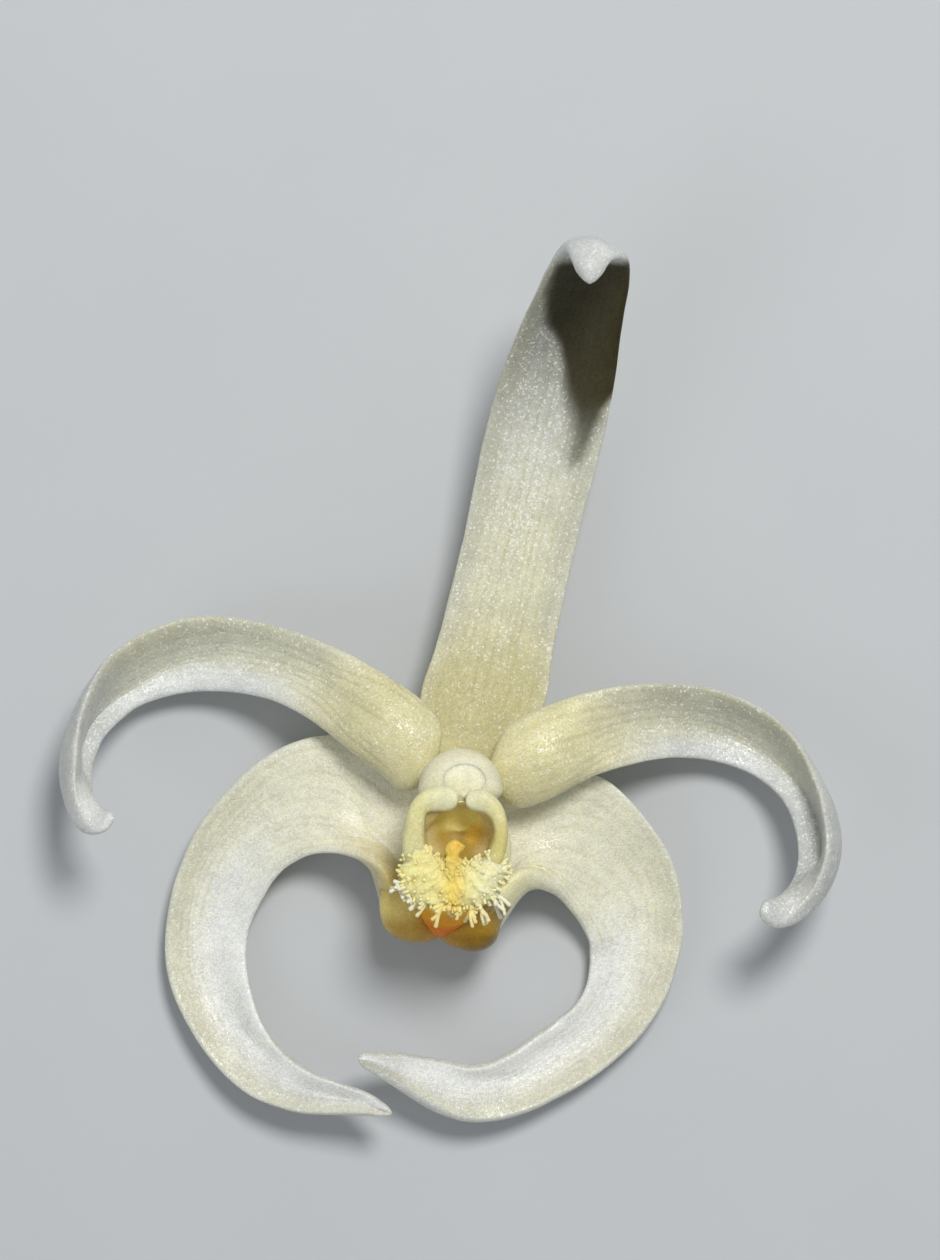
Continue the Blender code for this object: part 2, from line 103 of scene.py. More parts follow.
PETAL_RIGHT = [
    [(2.9, -3.5, 7.0), (2.5, -5.8, 7.2), (3.2, -8.6, 6.7)],
    [(4.9, -2.3, 6.9), (5.1, -5.2, 7.7), (5.9, -7.8, 6.8)],
    [(7.6, -1.2, 6.6), (7.9, -4.2, 7.0), (8.5, -6.5, 6.3)],
    [(9.6, -0.7, 6.3), (10.1, -3.4, 5.2), (10.7, -5.7, 6.0)],
    [(14.1, -0.4, 5.0), (14.3, -2.8, 3.3), (14.3, -5.1, 3.9)],
    [(18.3, -1.2, 4.4), (18.0, -3.4, 2.0), (17.3, -5.4, 2.6)],
    [(21.6, -3.4, 5.2), (21.0, -5.0, 2.4), (19.7, -6.3, 2.8)],
    [(23.1, -6.2, 6.8), (23.0, -7.1, 3.6), (21.3, -7.7, 3.8)],
    [(23.8, -9.3, 8.4), (24.1, -9.8, 5.2), (22.2, -10.0, 5.0)],
    [(23.5, -12.1, 8.8), (23.8, -12.4, 6.2), (22.1, -12.2, 6.4)],
    [(22.1, -14.2, 9.0), (22.3, -14.4, 7.4), (21.2, -13.5, 7.8)],
    [(20.6, -15.3, 9.6), (20.5, -15.0, 9.0), (20.3, -13.9, 9.4)],
    [(19.8, -15.0, 10.1), (19.6, -14.6, 10.0), (19.7, -14.0, 10.1)],
]
LATERAL_LEFT = [
    [(-0.1, -7.9, 5.0), (-0.4, -11.7, 4.0), (-0.6, -15.3, 4.4), (-0.55, -15.9, 5.4)],
    [(-1.9, -6.2, 5.0), (-2.9, -11.1, 3.4), (-3.0, -15.8, 4.0), (-2.7, -15.2, 6.4)],
    [(-4.1, -4.7, 4.7), (-4.7, -9.4, 3.5), (-4.0, -14.2, 4.5), (-3.7, -13.2, 7.2)],
    [(-5.4, -4.1, 4.5), (-5.6, -8.3, 3.3), (-4.7, -12.0, 4.3), (-4.4, -12.0, 7.2)],
    [(-7.0, -3.7, 4.3), (-6.9, -7.2, 3.3), (-6.2, -10.5, 3.8), (-5.8, -11.3, 5.9)],
    [(-10.7, -4.4, 3.9), (-10.3, -6.9, 2.8), (-9.6, -9.9, 2.7), (-9.2, -11.4, 3.8)],
    [(-14.9, -7.9, 3.0), (-14.1, -9.6, 1.6), (-13.0, -11.8, 1.4), (-11.8, -13.7, 2.4)],
    [(-17.5, -12.4, 2.2), (-16.4, -13.4, 0.85), (-14.5, -14.9, 0.75), (-12.9, -15.9, 1.6)],
    [(-18.4, -17.3, 2.0), (-17.0, -17.6, 0.75), (-15.0, -17.9, 0.65), (-13.2, -18.1, 1.8)],
    [(-17.4, -21.3, 2.4), (-16.1, -21.4, 1.0), (-14.0, -21.4, 1.0), (-12.5, -21.5, 2.6)],
    [(-14.3, -25.7, 3.0), (-13.5, -25.1, 1.6), (-11.8, -24.3, 1.8), (-10.5, -24.4, 3.8)],
    [(-10.3, -27.7, 3.8), (-9.9, -27.1, 2.4), (-9.0, -26.2, 2.6), (-7.8, -25.8, 4.8)],
    [(-6.4, -27.8, 4.8), (-6.2, -27.6, 3.8), (-5.6, -27.1, 3.8), (-5.1, -26.8, 5.2)],
    [(-3.7, -27.9, 5.6), (-3.7, -27.8, 5.4), (-3.7, -27.8, 5.4), (-3.7, -27.7, 5.6)],
]
LATERAL_RIGHT = [
    [(1.2, -8.2, 5.0), (0.9, -11.8, 4.0), (-0.2, -15.4, 4.4), (-0.4, -16.0, 5.4)],
    [(3.0, -7.0, 5.0), (2.6, -11.7, 3.4), (1.7, -16.2, 4.0), (1.5, -15.6, 6.4)],
    [(4.6, -6.3, 4.7), (4.2, -10.7, 3.5), (2.9, -15.2, 4.4), (2.7, -14.2, 7.2)],
    [(7.1, -6.0, 4.5), (6.2, -9.6, 3.4), (4.8, -12.9, 4.6), (4.6, -12.3, 7.0)],
    [(9.9, -6.5, 4.1), (8.9, -9.6, 3.0), (7.5, -13.0, 3.2), (6.8, -13.4, 4.6)],
    [(12.5, -9.0, 3.6), (11.2, -11.4, 2.0), (9.2, -14.6, 2.0), (8.2, -15.2, 3.0)],
    [(14.4, -12.1, 2.8), (12.7, -13.8, 1.2), (10.3, -16.1, 1.3), (9.0, -16.9, 2.1)],
    [(15.0, -16.3, 2.2), (13.1, -17.0, 0.93), (10.7, -18.0, 0.93), (9.1, -18.7, 1.8)],
    [(13.5, -21.3, 2.1), (11.9, -21.3, 0.93), (9.8, -21.2, 0.93), (8.2, -21.1, 1.9)],
    [(9.7, -25.3, 2.4), (8.4, -24.7, 1.2), (6.6, -23.8, 1.2), (5.3, -23.4, 2.4)],
    [(5.2, -27.7, 3.0), (4.4, -27.0, 1.8), (3.1, -25.8, 1.8), (2.0, -25.1, 3.4)],
    [(0.5, -28.1, 3.8), (-0.1, -27.3, 2.6), (-1.0, -25.7, 2.8), (-1.7, -24.5, 4.4)],
    [(-3.5, -25.7, 4.8), (-3.7, -25.4, 4.2), (-3.9, -24.7, 4.2), (-3.9, -24.2, 5.4)],
    [(-5.8, -24.4, 6.0), (-5.8, -24.3, 5.9), (-5.8, -24.2, 5.9), (-5.8, -24.1, 6.1)],
]
TEPAL_THICKNESS = 1.25
TEPAL_FRONT_SHARE = 0.4
TEPAL_MARGIN = 2.6  # power of the cross-section: higher is blunter at the margin

# The lip's trough from its claw up: middle, half width, depth, half angle and share of the wall.
LIP_ARCS = [
    ((-0.6, -16.1, 6.6), 0.35, 0.1, 45, 0.5),
    ((-0.5, -15.5, 7.3), 0.8, 0.35, 55, 0.7),
    ((0.0, -13.7, 8.4), 1.8, 1.4, 82, 0.85),
    ((0.4, -11.4, 9.7), 2.65, 2.35, 98, 0.9),
    ((0.5, -10.2, 10.9), 2.8, 2.35, 112, 1.0),
]
LIP_WALL = 1.05
# The column under its hood: height, middle and half size.
COLUMN_LEVELS = [
    (3.45, 0.9, -6.0, 1.3, 1.3),
    (3.9, 0.9, -6.0, 1.6, 1.6),
    (5.5, 0.85, -6.1, 1.7, 1.7),
    (7.2, 0.85, -6.2, 1.7, 1.65),
]
FOOT_PATH = [(0.8, -6.6, 5.0), (0.55, -9.0, 3.7), (0.2, -12.0, 3.0), (-0.3, -14.6, 3.2),
             (-0.6, -16.0, 4.4), (-0.6, -16.4, 5.9)]
ANTHER_CENTRE = (0.95, -6.5, 10.9)
ANTHER_HALF = (1.4, 1.05, 1.1)
PEDICEL_PATH = [(0.9, -6.6, 1.7), (1.0, -5.0, 1.65), (1.3, -1.5, 1.35), (2.0, 3.0, 0.95),
                (3.4, 8.5, 0.8), (5.0, 14.0, 0.75), (6.2, 18.0, 0.85), (6.6, 19.4, 1.0)]
PEDICEL_RADII = [1.1, 1.45, 1.3, 0.85, 0.75, 0.75, 0.85, 1.0]

# The anther cap stands alone and symmetric, so its middle ties the layout to the frame.
CAP_LOW, CAP_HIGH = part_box("anther_cap")
LAYOUT_SHIFT = np.array((CAP_LOW + CAP_HIGH) * 0.5) / MM - np.array(ANTHER_CENTRE)
LAYOUT_SHIFT[2] = CAP_HIGH.z / MM - ANTHER_CENTRE[2] - ANTHER_HALF[2]


# ---- Curves, surfaces and meshes ----


def place(points):
    """Points of the layout in mm, as points of the frame in metres."""
    return (np.asarray(points, float) + LAYOUT_SHIFT) * MM


def around(count):
    """That many angles, evenly around a full turn."""
    return np.linspace(0, 2 * np.pi, count, endpoint=False)


def spline(knots, values, wanted):
    """Reads the natural cubic spline through values (one row per knot) at wanted."""
    values = np.asarray(values, float)
    count = len(knots)
    step = np.diff(knots)
    system = np.eye(count)
    right = np.zeros_like(values)
    slope = np.diff(values, axis=0) / step[:, None]
    for i in range(1, count - 1):
        system[i, i - 1:i + 2] = (step[i - 1], 2 * (step[i - 1] + step[i]), step[i])
        right[i] = 6 * (slope[i] - slope[i - 1])
    bend = np.linalg.solve(system, right)
    cell = np.clip(np.searchsorted(knots, wanted) - 1, 0, count - 2)
    width = step[cell][:, None]
    before = (wanted - knots[cell])[:, None]
    after = width - before
    cubic = (bend[cell] * after ** 3 + bend[cell + 1] * before ** 3) / (6 * width)
    straight_before = (values[cell] / width - bend[cell] * width / 6) * after
    straight_after = (values[cell + 1] / width - bend[cell + 1] * width / 6) * before
    return cubic + straight_before + straight_after


def chord_knots(points):
    """Distances along a row of points, from 0 to 1."""
    steps = np.linalg.norm(np.diff(points, axis=0), axis=1)
    return np.concatenate([[0], np.cumsum(steps)]) / steps.sum()


def closed_curve(points, count):
    """A smooth closed outline through the points."""
    thrice = np.array(list(points) * 3 + [points[0]])
    knots = chord_knots(thrice)
    turns = len(points)
    wanted = np.linspace(knots[turns], knots[2 * turns], count, endpoint=False)
    return spline(knots, thrice, wanted)


def net_surface(net, along, across):
    """Reads the smooth surface through a net at every along (0..1) and across (-1..1)."""
    net = np.asarray(net, float)
    rows, columns = net.shape[:2]
    lengthwise = spline(chord_knots(net.mean(axis=1)), net.reshape(rows, -1), along)
    crosswise = lengthwise.reshape(len(along), columns, 3).transpose(1, 0, 2)
    read = spline(np.linspace(-1, 1, columns), crosswise.reshape(columns, -1), across)
    return read.reshape(len(across), len(along), 3).transpose(1, 0, 2)


def normals_of(points):
    """Unit normals of a grid of points, on its face side."""
    normal = np.cross(np.gradient(points, axis=1), np.gradient(points, axis=0))
    return normal / np.maximum(np.linalg.norm(normal, axis=2, keepdims=True), 1e-9)


def smooth(value, start, end):
    """0 up to start, 1 from end on, and a soft step between; it falls where end is the lower."""
    share = np.clip((value - start) / (end - start), 0, 1)
    return share * share * (3 - 2 * share)


def bell(value, middle, width):
    """A soft bump: 1 at middle, fading over width to both sides."""
    return np.exp(-((value - middle) / width) ** 2)


def ramp(value, stops):
    """Blends between (value, number or colour) stops with soft corners."""
    places = np.array([stop[0] for stop in stops], float)
    colours = np.array([np.atleast_1d(stop[1]) for stop in stops], float)
    cell = np.clip(np.searchsorted(places, value, side="right") - 1, 0, len(places) - 2)
    share = smooth(value, places[cell], places[cell + 1])[..., None]
    blended = colours[cell] * (1 - share) + colours[cell + 1] * share
    return blended[..., 0] if blended.shape[-1] == 1 else blended


def waves(first, second, cells, seed):
    """A smooth random field from -1 to 1 over two numbers in 0..1, with cells bumps each way."""
    lattice = np.random.default_rng(seed).uniform(-1, 1, (cells[0] + 2, cells[1] + 2))
    a = np.clip(first, 0, 1) * cells[0]
    b = np.clip(second, 0, 1) * cells[1]
    i = np.minimum(a.astype(int), cells[0])
    j = np.minimum(b.astype(int), cells[1])
    s = smooth(a - i, 0, 1)
    t = smooth(b - j, 0, 1)
    near = lattice[i, j] * (1 - t) + lattice[i, j + 1] * t
    far = lattice[i + 1, j] * (1 - t) + lattice[i + 1, j + 1] * t
    return near * (1 - s) + far * s


def across_steps(count):
    """Steps from one margin (-1) to the other (1), closer together at the margins."""
    return -np.cos(np.linspace(0, np.pi, count + 1))


def raised(flat, height):
    """Points from their x and y, and their heights or one height for all."""
    return np.concatenate([flat, np.broadcast_to(height, flat.shape[:-1])[..., None]], axis=-1)


def pillow(edge, middle, angle, reach_power, lift_power):
    """A pillow over an outline: its rings' x and y, their reach, and their lift from 1 to -1."""
    reach = np.sin(angle) ** reach_power
    lift = np.sign(np.cos(angle)) * np.abs(np.cos(angle)) ** lift_power
    return middle + (edge - middle) * reach[..., None], reach, lift


def wrap(front, back):
    """Rings round a sheet, from what its face and its back have between the same margins."""
    return np.concatenate([front, back[:, -2:0:-1]], axis=1)


def blend_to(tint, colour, share):
    """Moves tint towards colour by share."""
    return tint + (colour - tint) * np.asarray(share)[..., None]


def show(name, data):
    """Adds an object with that data to the scene."""
    made = bpy.data.objects.new(name, data)
    bpy.context.scene.collection.objects.link(made)
    return made


PLAIN_GLITTER = 0.3  # of the tissue that doesn't shine; 1 is the most


def ring_faces(rows, columns, first):
    """Faces of a closed skin through rings, flat across its two ends; first is its first vertex."""
    faces = []
    for row in range(rows - 1):
        low = first + row * columns
        high = low + columns
        for i in range(columns):
            j = (i + 1) % columns
            faces.append((low + i, low + j, high + j, high + i))
    for start in (first, first + (rows - 1) * columns):
        for i in range(columns // 2):
            corners = (start + i, start + i + 1,
                       start + (columns - i - 1) % columns, start + (columns - i) % columns)
            faces.append(tuple(dict.fromkeys(corners)))
    return faces


def make_piece(name, skins, material, glitter=PLAIN_GLITTER):
    """Makes a piece of closed skins, hangs it on the body and gives it its material.

    Each skin is its rings and its tints: one colour, or one for each point.  The fourth channel
    of the tint says how much the tissue glitters: how many of its cells get painted glints.
    """
    points = []
    faces = []
    colours = []
    count = 0
    for rings, tints in skins:
        rows, columns = rings.shape[:2]
        points.append(rings.reshape(-1, 3))
        faces += ring_faces(rows, columns, count)
        colours.append(np.broadcast_to(np.reshape(tints, (-1, 3)), (rows * columns, 3)))
        count += rows * columns
    mesh = bpy.data.meshes.new(name)
    mesh.from_pydata(place(np.concatenate(points)).tolist(), [], faces)
    tidy = bmesh.new()
    tidy.from_mesh(mesh)
    bmesh.ops.recalc_face_normals(tidy, faces=tidy.faces)
    tidy.to_mesh(mesh)
    tidy.free()
    mesh.shade_smooth()
    tint = np.empty((count, 4), np.float32)
    tint[:, :3] = np.concatenate(colours)
    tint[:, 3] = np.ravel(glitter)
    layer = mesh.attributes.new("tint", "FLOAT_COLOR", "POINT")
    layer.data.foreach_set("color", tint.ravel())
    piece = show(name, mesh)
    mesh.materials.append(material)
    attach(piece, BODY)
    return piece


def tube(path, radii, sides):
    """Rings of a round tube along a path, turning as little as they can."""
    forward = np.gradient(path, axis=0)
    forward = forward / np.maximum(np.linalg.norm(forward, axis=1, keepdims=True), 1e-9)
    side = np.cross(forward[0], (0, 0, 1))
    if np.linalg.norm(side) < 0.1:
        side = np.cross(forward[0], (0, 1, 0))
    first = []
    for ahead in forward:
        side = side - ahead * np.dot(side, ahead)
        side = side / np.linalg.norm(side)
        first.append(side)
    first = np.array(first)
    second = np.cross(forward, first)
    turn = around(sides)
    circle = first[:, None] * np.cos(turn)[:, None] + second[:, None] * np.sin(turn)[:, None]
    return path[:, None] + circle * radii[:, None, None]


# ---- Materials ----

MOTTLE_SCALE = 700.0
MOTTLE_SHADES = (0.92, 1.06)
CELL_SHADES = (0.88, 1.07)
CELL_DOMES = (0.3, 1.5)  # how high a cell stands, of the relief
# Glints: a few cells are painted whiter, as painted highlights, and made smoother.
GLINT_CHANCE = (0.9, 0.97)  # the random number from which a cell glints, and glints in full
GLINT_EXTRA = (-0.05, 0.1)  # added to it where the tissue glitters least and most
GLINT_PALENESS = (0.12, 0.4)  # how pale the tint is where cells start to glint, and do in full
PAINTED_GLINT_COLOUR = (1.0, 1.0, 0.97, 1.0)
LIGHT_RADIUS = (1.0, 0.85, 0.5)  # how far red, green and blue light runs inside the tissue


def feed(tree, node, inputs):
    """Sets or links inputs of a node, by their names or numbers."""
    for key, value in inputs.items():
        socket = node.inputs[key]
        if isinstance(value, bpy.types.NodeSocket):
            tree.links.new(value, socket)
        else:
            socket.default_value = value


def add_node(tree, kind, inputs=None, **settings):
    """A node with its settings and its inputs."""
    made = tree.nodes.new(kind)
    for key, value in settings.items():
        setattr(made, key, value)
    feed(tree, made, inputs or {})
    return made


def blend_colours(tree, share, first, second, kind="MIX"):
    """Mixes two colours; share, first and second are sockets or values."""
    inputs = {0: share, 6: first, 7: second}
    return add_node(tree, "ShaderNodeMix", inputs, data_type="RGBA", blend_type=kind).outputs[2]


def rescale(tree, value, to_range, from_range=(0, 1)):
    """Carries a value from one range to another, held at its ends."""
    inputs = {"Value": value, "From Min": from_range[0], "From Max": from_range[1],
              "To Min": to_range[0], "To Max": to_range[1]}
    return add_node(tree, "ShaderNodeMapRange", inputs).outputs["Result"]


def arithmetic(tree, operation, first, second):
    """One math node."""
    return add_node(tree, "ShaderNodeMath", {0: first, 1: second}, operation=operation).outputs[0]


def new_material(name):
    """A material, its node tree, its shader and the place on the piece that it is read at."""
    made = bpy.data.materials.new(name)
    made.use_nodes = True
    tree = made.node_tree
    spot = add_node(tree, "ShaderNodeTexCoord").outputs["Object"]
    return made, tree, tree.nodes["Principled BSDF"], spot


def flesh(name, cell, relief, glints, roughness, light_depth, light_share, gloss):
    """Fleshy tissue: tinted, built of small domed cells, a few painted whiter as glints.

    The cells' size, their relief and the depth that light reaches are in mm.
    """
    made, tree, shader, spot = new_material(name)
    painted = add_node(tree, "ShaderNodeAttribute", attribute_name="tint").outputs
    cells = add_node(tree, "ShaderNodeTexVoronoi", {"Vector": spot, "Scale": 1 / (cell * MM)})
    draw = add_node(tree, "ShaderNodeSeparateColor", {"Color": cells.outputs["Color"]}).outputs
    mottle = add_node(tree, "ShaderNodeTexNoise", {"Vector": spot, "Scale": MOTTLE_SCALE, "Detail": 3})
    shade = arithmetic(tree, "MULTIPLY", rescale(tree, draw[0], CELL_SHADES),
                       rescale(tree, mottle.outputs["Fac"], MOTTLE_SHADES, (0.3, 0.7)))
    grey = add_node(tree, "ShaderNodeCombineColor", {"Red": shade, "Green": shade, "Blue": shade})
    mottled = blend_colours(tree, 1, painted["Color"], grey.outputs[0], "MULTIPLY")
    # Painted glints: a few cells, more where the tissue glitters and is pale, get a whiter colour.
    blue = add_node(tree, "ShaderNodeSeparateColor", {"Color": painted["Color"]}).outputs[2]
    chance = arithmetic(tree, "ADD", draw[1], rescale(tree, painted["Alpha"], GLINT_EXTRA))
    glint = arithmetic(tree, "MULTIPLY", rescale(tree, chance, (0, glints), GLINT_CHANCE),
                       rescale(tree, blue, (0, 1), GLINT_PALENESS))
    dome = arithmetic(tree, "MULTIPLY", rescale(tree, cells.outputs["Distance"], (1, 0), (0, 0.75)),
                      rescale(tree, draw[2], CELL_DOMES))
    bump = add_node(tree, "ShaderNodeBump", {"Height": dome, "Distance": relief * MM})
    feed(tree, shader, {
        "Base Color": blend_colours(tree, glint, mottled, PAINTED_GLINT_COLOUR),
        "Roughness": rescale(tree, chance, (roughness, roughness * 0.5), GLINT_CHANCE),
        "Normal": bump.outputs["Normal"],
        "Subsurface Weight": light_share,
        "Subsurface Radius": LIGHT_RADIUS,
        "Subsurface Scale": light_depth * MM,
        "Specular IOR Level": gloss})
    return made


def grained(name, scale, detail, first, second, roughness, gloss):
    """A plain material of two colours mixed by a fine grain."""
    made, tree, shader, spot = new_material(name)
    grain = add_node(tree, "ShaderNodeTexNoise", {"Vector": spot, "Scale": scale, "Detail": detail})
    feed(tree, shader, {"Base Color": blend_colours(tree, grain.outputs["Fac"], first, second),
                        "Roughness": roughness, "Specular IOR Level": gloss})
    return made


# ---- Sepals and petals ----

TEPAL_STATIONS = 270
TEPAL_FRONT = 112  # steps across the face
TEPAL_BACK = 56  # and across the back
BASE_SPAN = 0.05  # of the length, with closer stations
TIP_ROUND = 0.02  # of the length, rounded off at the tip
TIP_TAPER = 0.12  # of the length, over which the flesh thins
TIP_THICKNESS = 0.4  # of the flesh, left at the tip
ROUND_LEAST = 0.0025  # keeps the rounded ends from closing to a point
VEIN_HALF_WIDTH = 0.11  # mm
VEIN_DEPTH = 0.03  # mm
VEIN_REACH = 0.88  # of the half width, where the outermost veins run
VEIN_WANDER = 0.035
KEEL = (0.25, 0.12)  # mm high, and its share of the half width, on the back
SWELLINGS = (0.035, (14, 4))  # mm high, and how many along and across a blade
GRAIN = (0.01, (60, 16))
EDGE_CELLS = (30, 2)


def vein_map(along, across, half_width, veins, seed):
    """How much each point lies in a vein: 1 on its line, 0 between the veins."""
    u, v = np.broadcast_arrays(along[:, None], across[None, :])
    rng = np.random.default_rng(seed)
    strength = np.zeros(u.shape)
    for start in np.linspace(-VEIN_REACH, VEIN_REACH, veins):
        start = start + rng.uniform(-0.05, 0.05)
        wander = VEIN_WANDER * waves(u, 0.5 * u, (9, 2), rng.integers(1000))
        gap = (v - start - wander) * half_width[:, None]
        local = 0.6 + 0.4 * waves(u, 0.5 * u, (14, 2), rng.integers(1000))
        strength = np.maximum(strength, local * bell(gap, 0, VEIN_HALF_WIDTH))
    return strength * smooth(u, 0.02, 0.12) * smooth(u, 0.97, 0.8)


def level_hook(look, points, normal, profile, u, v):
    """The face's points, levelled from margin to margin where the blade bends into its hook."""
    share = 0.5 + 0.5 * v[..., None]
    level = points[:, :1] * (1 - share) + points[:, -1:] * share
    middle = points.shape[1] // 2
    bow = profile * (1 - v ** 2)
    level = level + 0.2 * normal[:, middle:middle + 1] * bow[..., None]
    filled = look["level"] * smooth(u, look["level_from"], look["level_from"] + 0.1)
    return points + filled[..., None] * (level - points)


def tepal_side(look, along, side):
    """Points of one side of a blade, their tints and how they glitter; side is -1 on the back."""
    steps = TEPAL_FRONT if side > 0 else TEPAL_BACK
    across = across_steps(steps)
    u, v = np.broadcast_arrays(along[:, None], across[None, :])
    w = 0.5 + 0.5 * v
    seed = look["seed"]
    middle = net_surface(look["net"], along, across)
    normal = look["face"] * normals_of(middle)
    half_width = 0.5 * np.linalg.norm(middle[:, -1] - middle[:, 0], axis=1)
    base = np.clip((look["base_round"] - u) / max(look["base_round"], 1e-6), 0, 1)
    tip = np.clip((u - 1 + TIP_ROUND) / TIP_ROUND, 0, 1)
    end = np.clip(1 - base ** 2, ROUND_LEAST, None) * np.clip(1 - tip ** 2, ROUND_LEAST, None)
    end = np.sqrt(end)
    spine = middle[:, steps // 2:steps // 2 + 1]
    middle = spine + (middle - spine) * end[..., None]
    edge = look["edge_waves"] * waves(u, w, EDGE_CELLS, seed) * smooth(np.abs(v), 0.7, 1)
    middle = middle + normal * edge[..., None]
    veins = vein_map(along, across, half_width, look["veins"], seed + 1)
    relief = SWELLINGS[0] * waves(u, w, SWELLINGS[1], seed + 2)
    relief = relief + GRAIN[0] * waves(u, w, GRAIN[1], seed + 3) - side * VEIN_DEPTH * veins
    if side > 0:
        height, crown_from, crown_to, crown_across = look["crown"]
        relief = relief + height * smooth(u, crown_from, crown_to) * smooth(v, *crown_across)
    else:
        relief = relief + KEEL[0] * bell(v, 0, KEEL[1]) * smooth(u, 1, 0.7)
    profile = np.sqrt(np.clip(1 - np.abs(v) ** TEPAL_MARGIN, 0, None)) * end
    taper = np.minimum(1, (1 - u) / TIP_TAPER) ** 0.5
    blunt = TIP_THICKNESS + (1 - TIP_THICKNESS) * taper
    share = TEPAL_FRONT_SHARE if side * look["face"] > 0 else 1 - TEPAL_FRONT_SHARE
    depth = TEPAL_THICKNESS * blunt * profile * share + relief * profile
    points = middle + normal * (side * depth)[..., None]
    if side > 0:
        points = level_hook(look, points, normal, profile, u, v)
    # The sheen band gets more painted glints.
    sheen = bell(v, look["sheen"], 0.5) * smooth(u, 0.2, 0.4) * (side > 0)
    glitter = PLAIN_GLITTER + (1 - PLAIN_GLITTER) * sheen
    return points, look["tint"](look, u, v, side, veins), glitter


def rounded_end(span, steps):
    """Places along the last span of a length, closer together towards its end."""
    return 1 - span * np.cos(np.linspace(0, np.pi / 2, steps))


def tepal(name, look, material):
    """One sepal or petal, as a thick sheet with veins, soft swellings and an uneven margin."""
    along = np.concatenate([BASE_SPAN - 1 + rounded_end(BASE_SPAN, 16),
                            np.linspace(BASE_SPAN, 1 - TIP_ROUND, TEPAL_STATIONS)[1:],
                            rounded_end(TIP_ROUND, 10)[1:]])
    sides = zip(tepal_side(look, along, 1), tepal_side(look, along, -1))
    rings, tints, glitter = [wrap(front, back) for front, back in sides]
    rings[..., 2] = np.maximum(rings[..., 2], -LAYOUT_SHIFT[2])
    skins = [(rings, np.clip(tints, 0, 1))]
    piece = make_piece(name + "_flesh", skins, material, glitter)
    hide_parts(name)


WHITE = (0.75, 0.77, 0.76)
MARGIN = (0.64, 0.66, 0.62)
VEIN_OLIVE = (0.50, 0.47, 0.22)
# The dorsal sepal from base to tip; its base's darker cream is partly painted shade, where it is
# concave.
DORSAL_STOPS = [(0.0, (0.56, 0.52, 0.28)), (0.12, (0.62, 0.58, 0.33)), (0.3, (0.72, 0.71, 0.54)),
                (0.6, (0.71, 0.72, 0.66)), (1.0, WHITE)]
DORSAL_SIDES = (0.56, 0.56, 0.46)
BEAK = (0.68, 0.70, 0.69)
BEAK_FROM = 0.86  # of the length, where the dorsal sepal's white beak starts
# Painted shade, dark olive, in the dorsal sepal's hollow end: along the sepal, from and to across it.
HOLLOW_PAINTED_SHADE = (0.032, 0.025, 0.0)
HOLLOW_SHADE_FROM = [(0.46, 0.8), (0.485, 0.6), (0.57, 0.4), (0.63, 0.12), (0.69, -0.2), (0.73, -0.6),
               (0.8, -0.95)]
HOLLOW_SHADE_TO = [(0.46, 0.7), (0.485, 0.76), (0.525, 0.84), (0.57, 0.93), (0.63, 1.3)]
PETAL_CREAM = (0.73, 0.69, 0.41)
PETAL_STOPS = [(0.0, PETAL_CREAM), (0.12, PETAL_CREAM), (0.32, (0.76, 0.745, 0.56)),
               (0.52, (0.77, 0.78, 0.71)), (1.0, WHITE)]
# Painted shade and a painted sheen on the petals, and painted shade at their bend.
PETAL_PAINTED_SHADE = (0.66, 0.66, 0.52)
PETAL_TURNED_SHADE = (0.52, 0.52, 0.40)
PETAL_PAINTED_SHEEN = (0.76, 0.79, 0.79)
PETAL_BEND_SHADE = (0.58, 0.60, 0.59)
LATERAL_STOPS = [(0.0, (0.88, 0.86, 0.68)), (0.3, (0.86, 0.85, 0.68)), (0.6, (0.83, 0.83, 0.76)),
                 (1.0, (0.83, 0.84, 0.80))]
# Painted shade where the lateral sepals turn away, and a painted sheen.
LATERAL_TURNED_SHADE = (0.68, 0.67, 0.50)
LATERAL_PAINTED_SHEEN = (0.85, 0.87, 0.85)


def plain_tint(u, v, veins, stops):
    """Base to tip colour, with veins and a paler margin."""
    tint = blend_to(ramp(u, stops), VEIN_OLIVE, 0.42 * veins)
    pale = 0.2 + 0.5 * smooth(u, 0.25, 0.5)
    return blend_to(tint, MARGIN, pale * smooth(np.abs(v), 0.75, 1))


def hollow(u, v):
    """How much painted shade each point gets in the dorsal sepal's hollow end."""
    start = np.interp(u, *zip(*HOLLOW_SHADE_FROM)) + 0.07 * waves(u, 0.5 + 0.5 * v, (26, 5), 91)
    stop = np.interp(u, *zip(*HOLLOW_SHADE_TO))
    inside = smooth(v - start, -0.26, 0.22) * smooth(stop - v, -0.14, 0.14)
    inside = inside * (0.75 * smooth(u, 0.45, 0.5) + 0.25 * smooth(u, 0.5, 0.6))
    return inside * (1 - 0.6 * smooth(v, -0.9, -1))


def dorsal_tint(look, u, v, side, veins):
    """Dull cream, with painted shade in and around its hollow end, and the white beak."""
    tint = plain_tint(u, v, veins, DORSAL_STOPS)
    tint = blend_to(tint, DORSAL_SIDES, 0.7 * smooth(np.abs(v), 0.55, 0.9) * smooth(u, 0.1, 0.3))
    below_beak = smooth(u, BEAK_FROM + 0.05, BEAK_FROM)
    if side > 0:
        # Painted shade: dark olive in the hollow end, and darker towards the hook.
        dark = np.maximum(0.96 * hollow(u, v), 0.35 * smooth(u, 0.5, 0.7))
        tint = blend_to(tint, HOLLOW_PAINTED_SHADE, dark * below_beak)
    # Painted shade along one margin, below the beak.
    edge = 0.6 * smooth(v, 0.88, 1) * smooth(u, 0.6, 0.68)
    tint = blend_to(tint, HOLLOW_PAINTED_SHADE, edge * below_beak)
    return blend_to(tint, BEAK, smooth(u, BEAK_FROM, BEAK_FROM + 0.06))


